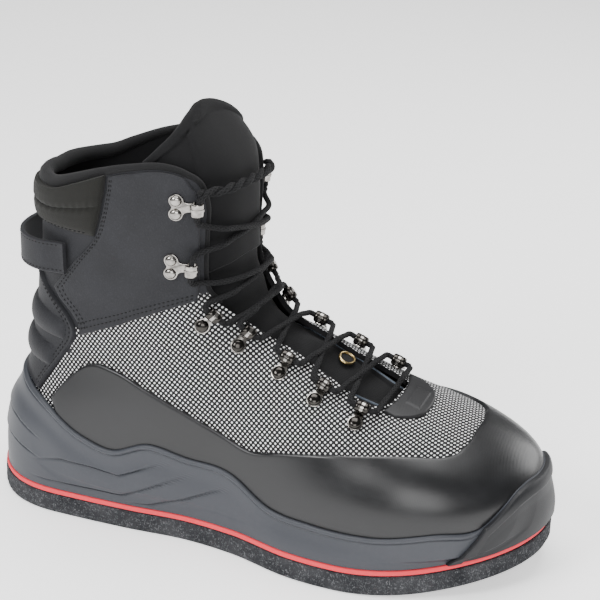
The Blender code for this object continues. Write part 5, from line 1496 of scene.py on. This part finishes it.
nickel = finish_of("bright_nickel", plated, 0.04, 0.0001, also={"Metallic": 1.0}, Plate=(0.36, 0.345, 0.325),
                   Tarnish=(0.15, 0.14, 0.13), Dull=0.10)
dark_nickel = finish_of("dark_nickel", plated, 0.04, 0.0001, also={"Metallic": 1.0},
                        Plate=(0.050, 0.047, 0.043), Tarnish=(0.028, 0.026, 0.024), Dull=0.07)
LOOP_DOME, LOOP_BEADS, LOOP_RING = 0.0024, 0.0005, 0.0003
neck = TUBE_LENGTH * 0.30
neck_end = TUBE_REACH + TUBE_RADIUS * 0.5
ring_turn = np.radians(range(50, 311, 20))
loop_outline = [(RIVET * 1.12 * math.cos(a), RIVET * 1.12 * math.sin(a)) for a in ring_turn]
loop_outline += [(RIVET * 1.3, -neck), (neck_end, -neck * 1.25), (neck_end, neck * 1.25), (RIVET * 1.3, neck)]
for side_name, hand in (("lateral", -1), ("medial", 1)):
    for number, row in enumerate(LOOPS, 1):
        at = seat(row, hand, 0.10)
        loop_parts = [
            leaf(at, smooth_outline(loop_outline, 4), 0.0, METAL, SEAT * 0.5),
            dome(at, (0.0, 0.0), RIVET * 0.94, METAL * 0.7, LOOP_DOME, SEAT * 0.5),
            lace_tube(at, TUBE_REACH, TUBE_RADIUS, METAL * 0.6, SEAT * 0.5, beads=LOOP_BEADS),
            lace_tube(at, TUBE_REACH, TUBE_RADIUS + LOOP_RING, METAL * 0.8, SEAT * 0.5, 250.0, -65.0,
                      long=TUBE_LENGTH * 0.26),
        ]
        piece(f"loop_{side_name}_{number}", loop_parts, [nickel, dark_nickel, dark_nickel, nickel],
              [f"lace_loop_{side_name}_{number}"])

# Lace hooks
# Two hooks a side near the collar. Each plate has two rounded lobes held by bright domed rivets, and a neck
# folded into a short open tube that the lace is pulled down into.
HOOK_NECK, HOOK_DOME, HOOK_SLEEVE, HOOK_RING, HOOK_PROUD = 0.0020, 0.0020, 0.0068, 0.0012, 0.00035
NECK_HALF, NECK_END_HALF = 0.0022, 0.0026
hook_half = RIVET * 0.97
hook_reach = TUBE_REACH + HOOK_NECK
lobes = []
for k, first_turn in ((1, 20), (-1, 135)):
    lobes.append([(RIVET * 0.98 * math.cos(a), k * hook_half + RIVET * 0.98 * math.sin(a))
                  for a in np.radians(range(first_turn, first_turn + 206, 15))])
hook_end = hook_reach + 0.0010
hook_outline = lobes[0] + [(-RIVET * 0.55, 0.0)] + lobes[1]
hook_outline += [(RIVET * 1.15, -NECK_HALF), (hook_end, -NECK_END_HALF), (hook_end, NECK_END_HALF),
                 (RIVET * 1.15, NECK_HALF)]
under_hook = PANEL_TOP + 0.0002
for side_name, hand in (("lateral", -1), ("medial", 1)):
    for number, row in enumerate(HOOKS, 1):
        at = seat(row, hand, 0.45)
        hook_parts = [leaf(at, smooth_outline(hook_outline, 3), 0.0, METAL, under_hook)]
        for k in (-1, 1):
            head = dome(at, (0.0, k * hook_half), RIVET * 0.80, METAL * 0.8, HOOK_DOME, under_hook)
            hook_parts.append(head)
        for proud, long in ((0.0, HOOK_SLEEVE), (HOOK_PROUD, HOOK_RING)):
            hook_parts.append(lace_tube(at, hook_reach, TUBE_RADIUS + proud, METAL * 0.7, under_hook, 285.0,
                                        -125.0, long=long))
        piece(f"hook_{side_name}_{number}", hook_parts, [nickel] * 5, [f"lace_hook_{side_name}_{number}"])

# Lace
# One round braided black lace, 3.6 mm thick. A bar lies over the tongue's foot, each end crosses up from row
# to row through the tubes, and at the top the two ends go round the hooks and lie twisted together.
REST = LACE / 2 - UPPER_WALL - LAY / 2 + 1.5 * GAP
OVER_SHELL, DRAWN = 0.0021, 0.86
STRAND_STOPS = np.linspace(0, 1, 41)


def tube_mouths(row, hand, first, reach, under, lace_radius=LACE / 2):
    """The two ends of a fitting's tube, a lace's width beyond its metal."""
    at = seat(row, hand, first)
    beyond = TUBE_LENGTH / 2 + lace_radius + 6 * GAP
    ends = draped(at, [(reach, k * beyond, SLEEVE_HEIGHT) for k in (-1.0, 1.0)], under)
    return ends[np.argsort(ends[:, 2] - 0.3 * ends[:, 0])]


def strand(start, end, rest):
    """A lace's path over the tongue, from one tube's mouth to another's."""
    t = STRAND_STOPS[:, None]
    chord = start * (1 - t) + end * t
    below = settle(chord)
    height = ((chord - below) * normals(below)).sum(-1)
    middle = np.clip((np.sin(np.pi * t[:, 0]) - 0.72) / 0.2, 0, 1)
    middle = middle * middle * (3 - 2 * middle)
    high = np.interp(t[:, 0], (0, 1), (height[0], height[-1]))
    to_end = np.minimum(t[:, 0], 1 - t[:, 0])
    high = OVER_SHELL + (high - OVER_SHELL) * np.exp(-to_end / 0.07)
    return raised(below, high * (1 - middle) + rest * middle)


def smooth_path(points, spacing=0.0009, rounds=6):
    """A path through rough points, with its corners eased."""
    path = resampled(points, spacing)
    for _ in range(rounds):
        path[1:-1] = (path[:-2] + 2 * path[1:-1] + path[2:]) / 4
    return path


# Braided cord: strands that cross in both directions round the lace
braided = Effect("braided_cord", Yarn=(0.02, 0.02, 0.02), Worn=(0.07, 0.07, 0.07), Strands=6.0, Pitch=0.0030)
axes = braided.axes(braided.cloth())
onto = braided.math("MULTIPLY", braided.math("DIVIDE", axes["X"], braided.given["Pitch"]), 6.2832)
round_it = braided.math("MULTIPLY", axes["Y"], braided.given["Strands"])
ways = [braided.math("SINE", braided.math(way, onto, round_it)) for way in ("ADD", "SUBTRACT")]
cross = braided.math("MAXIMUM", *ways)
fuzz = braided.noise(1800.0, 3.0, 0.7)
pale = braided.math("MULTIPLY", braided.ramp(cross, 0.2, 1.0), braided.ramp(fuzz, 0.35, 0.75))
braided.put_out(braided.mix(pale, braided.given["Yarn"], braided.given["Worn"]),
                braided.ramp(fuzz, 0.3, 0.7, 0.75, 0.95), braided.math("MULTIPLY_ADD", fuzz, 0.5, cross))
lace_cord = finish_of("lace_cord", braided, 0.6, 0.0004, 0.25, Yarn=(0.0040, 0.0040, 0.0045),
                      Worn=(0.022, 0.022, 0.024))


def lace_run(paths, radius=LACE / 2 * DRAWN, sides=16):
    """Lace tubes along paths, and each point's place along and round its lace."""
    parts, places = [], []
    for path in paths:
        path = smooth_path(path)
        out = normals(settle(path, steps=4))
        run = run_along(path)
        close = round_end(np.minimum(run, run[-1] - run), radius)
        parts.append(tube(path, radius * (0.35 + 0.65 * close), sides, out))
        round_it = 2 * np.pi * np.arange(sides) / sides
        places.append(np.stack(np.broadcast_arrays(run[:, None], round_it[None]), -1).reshape(-1, 2))
    return parts, np.concatenate(places)


def through(row, hand, first, reach, under, low_end, high_end):
    """The lace's way through one fitting, between the strands' ends."""
    at = seat(row, hand, first)
    inside = draped(at, [(reach, k * TUBE_LENGTH * 0.35, SLEEVE_HEIGHT) for k in (-1, 0, 1)], under)
    if np.linalg.norm(inside[0] - low_end) > np.linalg.norm(inside[-1] - low_end):
        inside = inside[::-1]
    return np.vstack([[low_end], inside, [high_end]])


LOOP_DROP, HOOK_DROP, NEAR_REST, FAR_REST = SEAT * 0.5, 0.0004, REST - 0.0003, REST + 0.0012
lace_rows = [(row, 0.10, TUBE_REACH, SEAT) for row in LOOPS]
lace_rows += [(row, 0.45, hook_reach, LAY + PANEL + SEAT) for row in HOOKS]
mouths = [[tube_mouths(row, hand, *rest) for hand in (-1, 1)] for row, *rest in lace_rows]
parts, places = lace_run([strand(mouths[0][0][0], mouths[0][1][0], REST)])
piece("lace_foot_bar", parts, [lace_cord], ["lace_bar"], flat=places)
for k, (row, first, reach, under_it) in enumerate(lace_rows[:-1]):
    seated = under_it - (LOOP_DROP if k < len(LOOPS) else HOOK_DROP)
    pair = []
    for a, hand, rest in ((0, -1, NEAR_REST), (1, 1, FAR_REST)):
        sleeve_way = through(row, hand, first, reach, seated, *mouths[k][a])
        over = strand(mouths[k][a][1], mouths[k + 1][1 - a][0], rest)
        pair.append(np.vstack([sleeve_way[:-1], over]))
    parts, places = lace_run(pair)
    piece(f"lace_cross_{k + 1}", parts, [lace_cord] * 2, [f"lace_crossing_{k + 1}"], flat=places)

# The two ends leave the top hooks and twist round each other across the tongue
top_row, first, reach, under_it = lace_rows[-1]
near_end, far_end = [tube_mouths(top_row, hand, first, reach, under_it, LACE * 0.75)[1] for hand in (-1, 1)]
core = smooth_path(strand(near_end, far_end, REST + LACE / 4), 0.0012, 10)
way = unit(np.gradient(core, axis=0))
out = normals(settle(core, steps=4))
side_way = np.cross(way, out)
run = run_along(core)
TWIST_PITCH, TWIST_RADIUS = 0.021, LACE * 0.42
twist = 2 * np.pi * run / TWIST_PITCH
top_paths = []
for start_turn, a, hand in ((0.0, 0, -1), (np.pi, 1, 1)):
    wind = np.cos(twist + start_turn)[:, None] * side_way + np.sin(twist + start_turn)[:, None] * out
    twisted = core + wind * LACE * 0.40 + out * 0.0006
    sleeve_way = through(top_row, hand, first, reach, under_it - HOOK_DROP, *mouths[-1][a])
    ordered = twisted if a == 0 else twisted[::-1]
    top_paths.append(np.vstack([sleeve_way[:-1], ordered[3:]]))
parts, places = lace_run(top_paths, TWIST_RADIUS)
piece("lace_top_twist", parts, [lace_cord] * 2, ["lace_top"], flat=places)
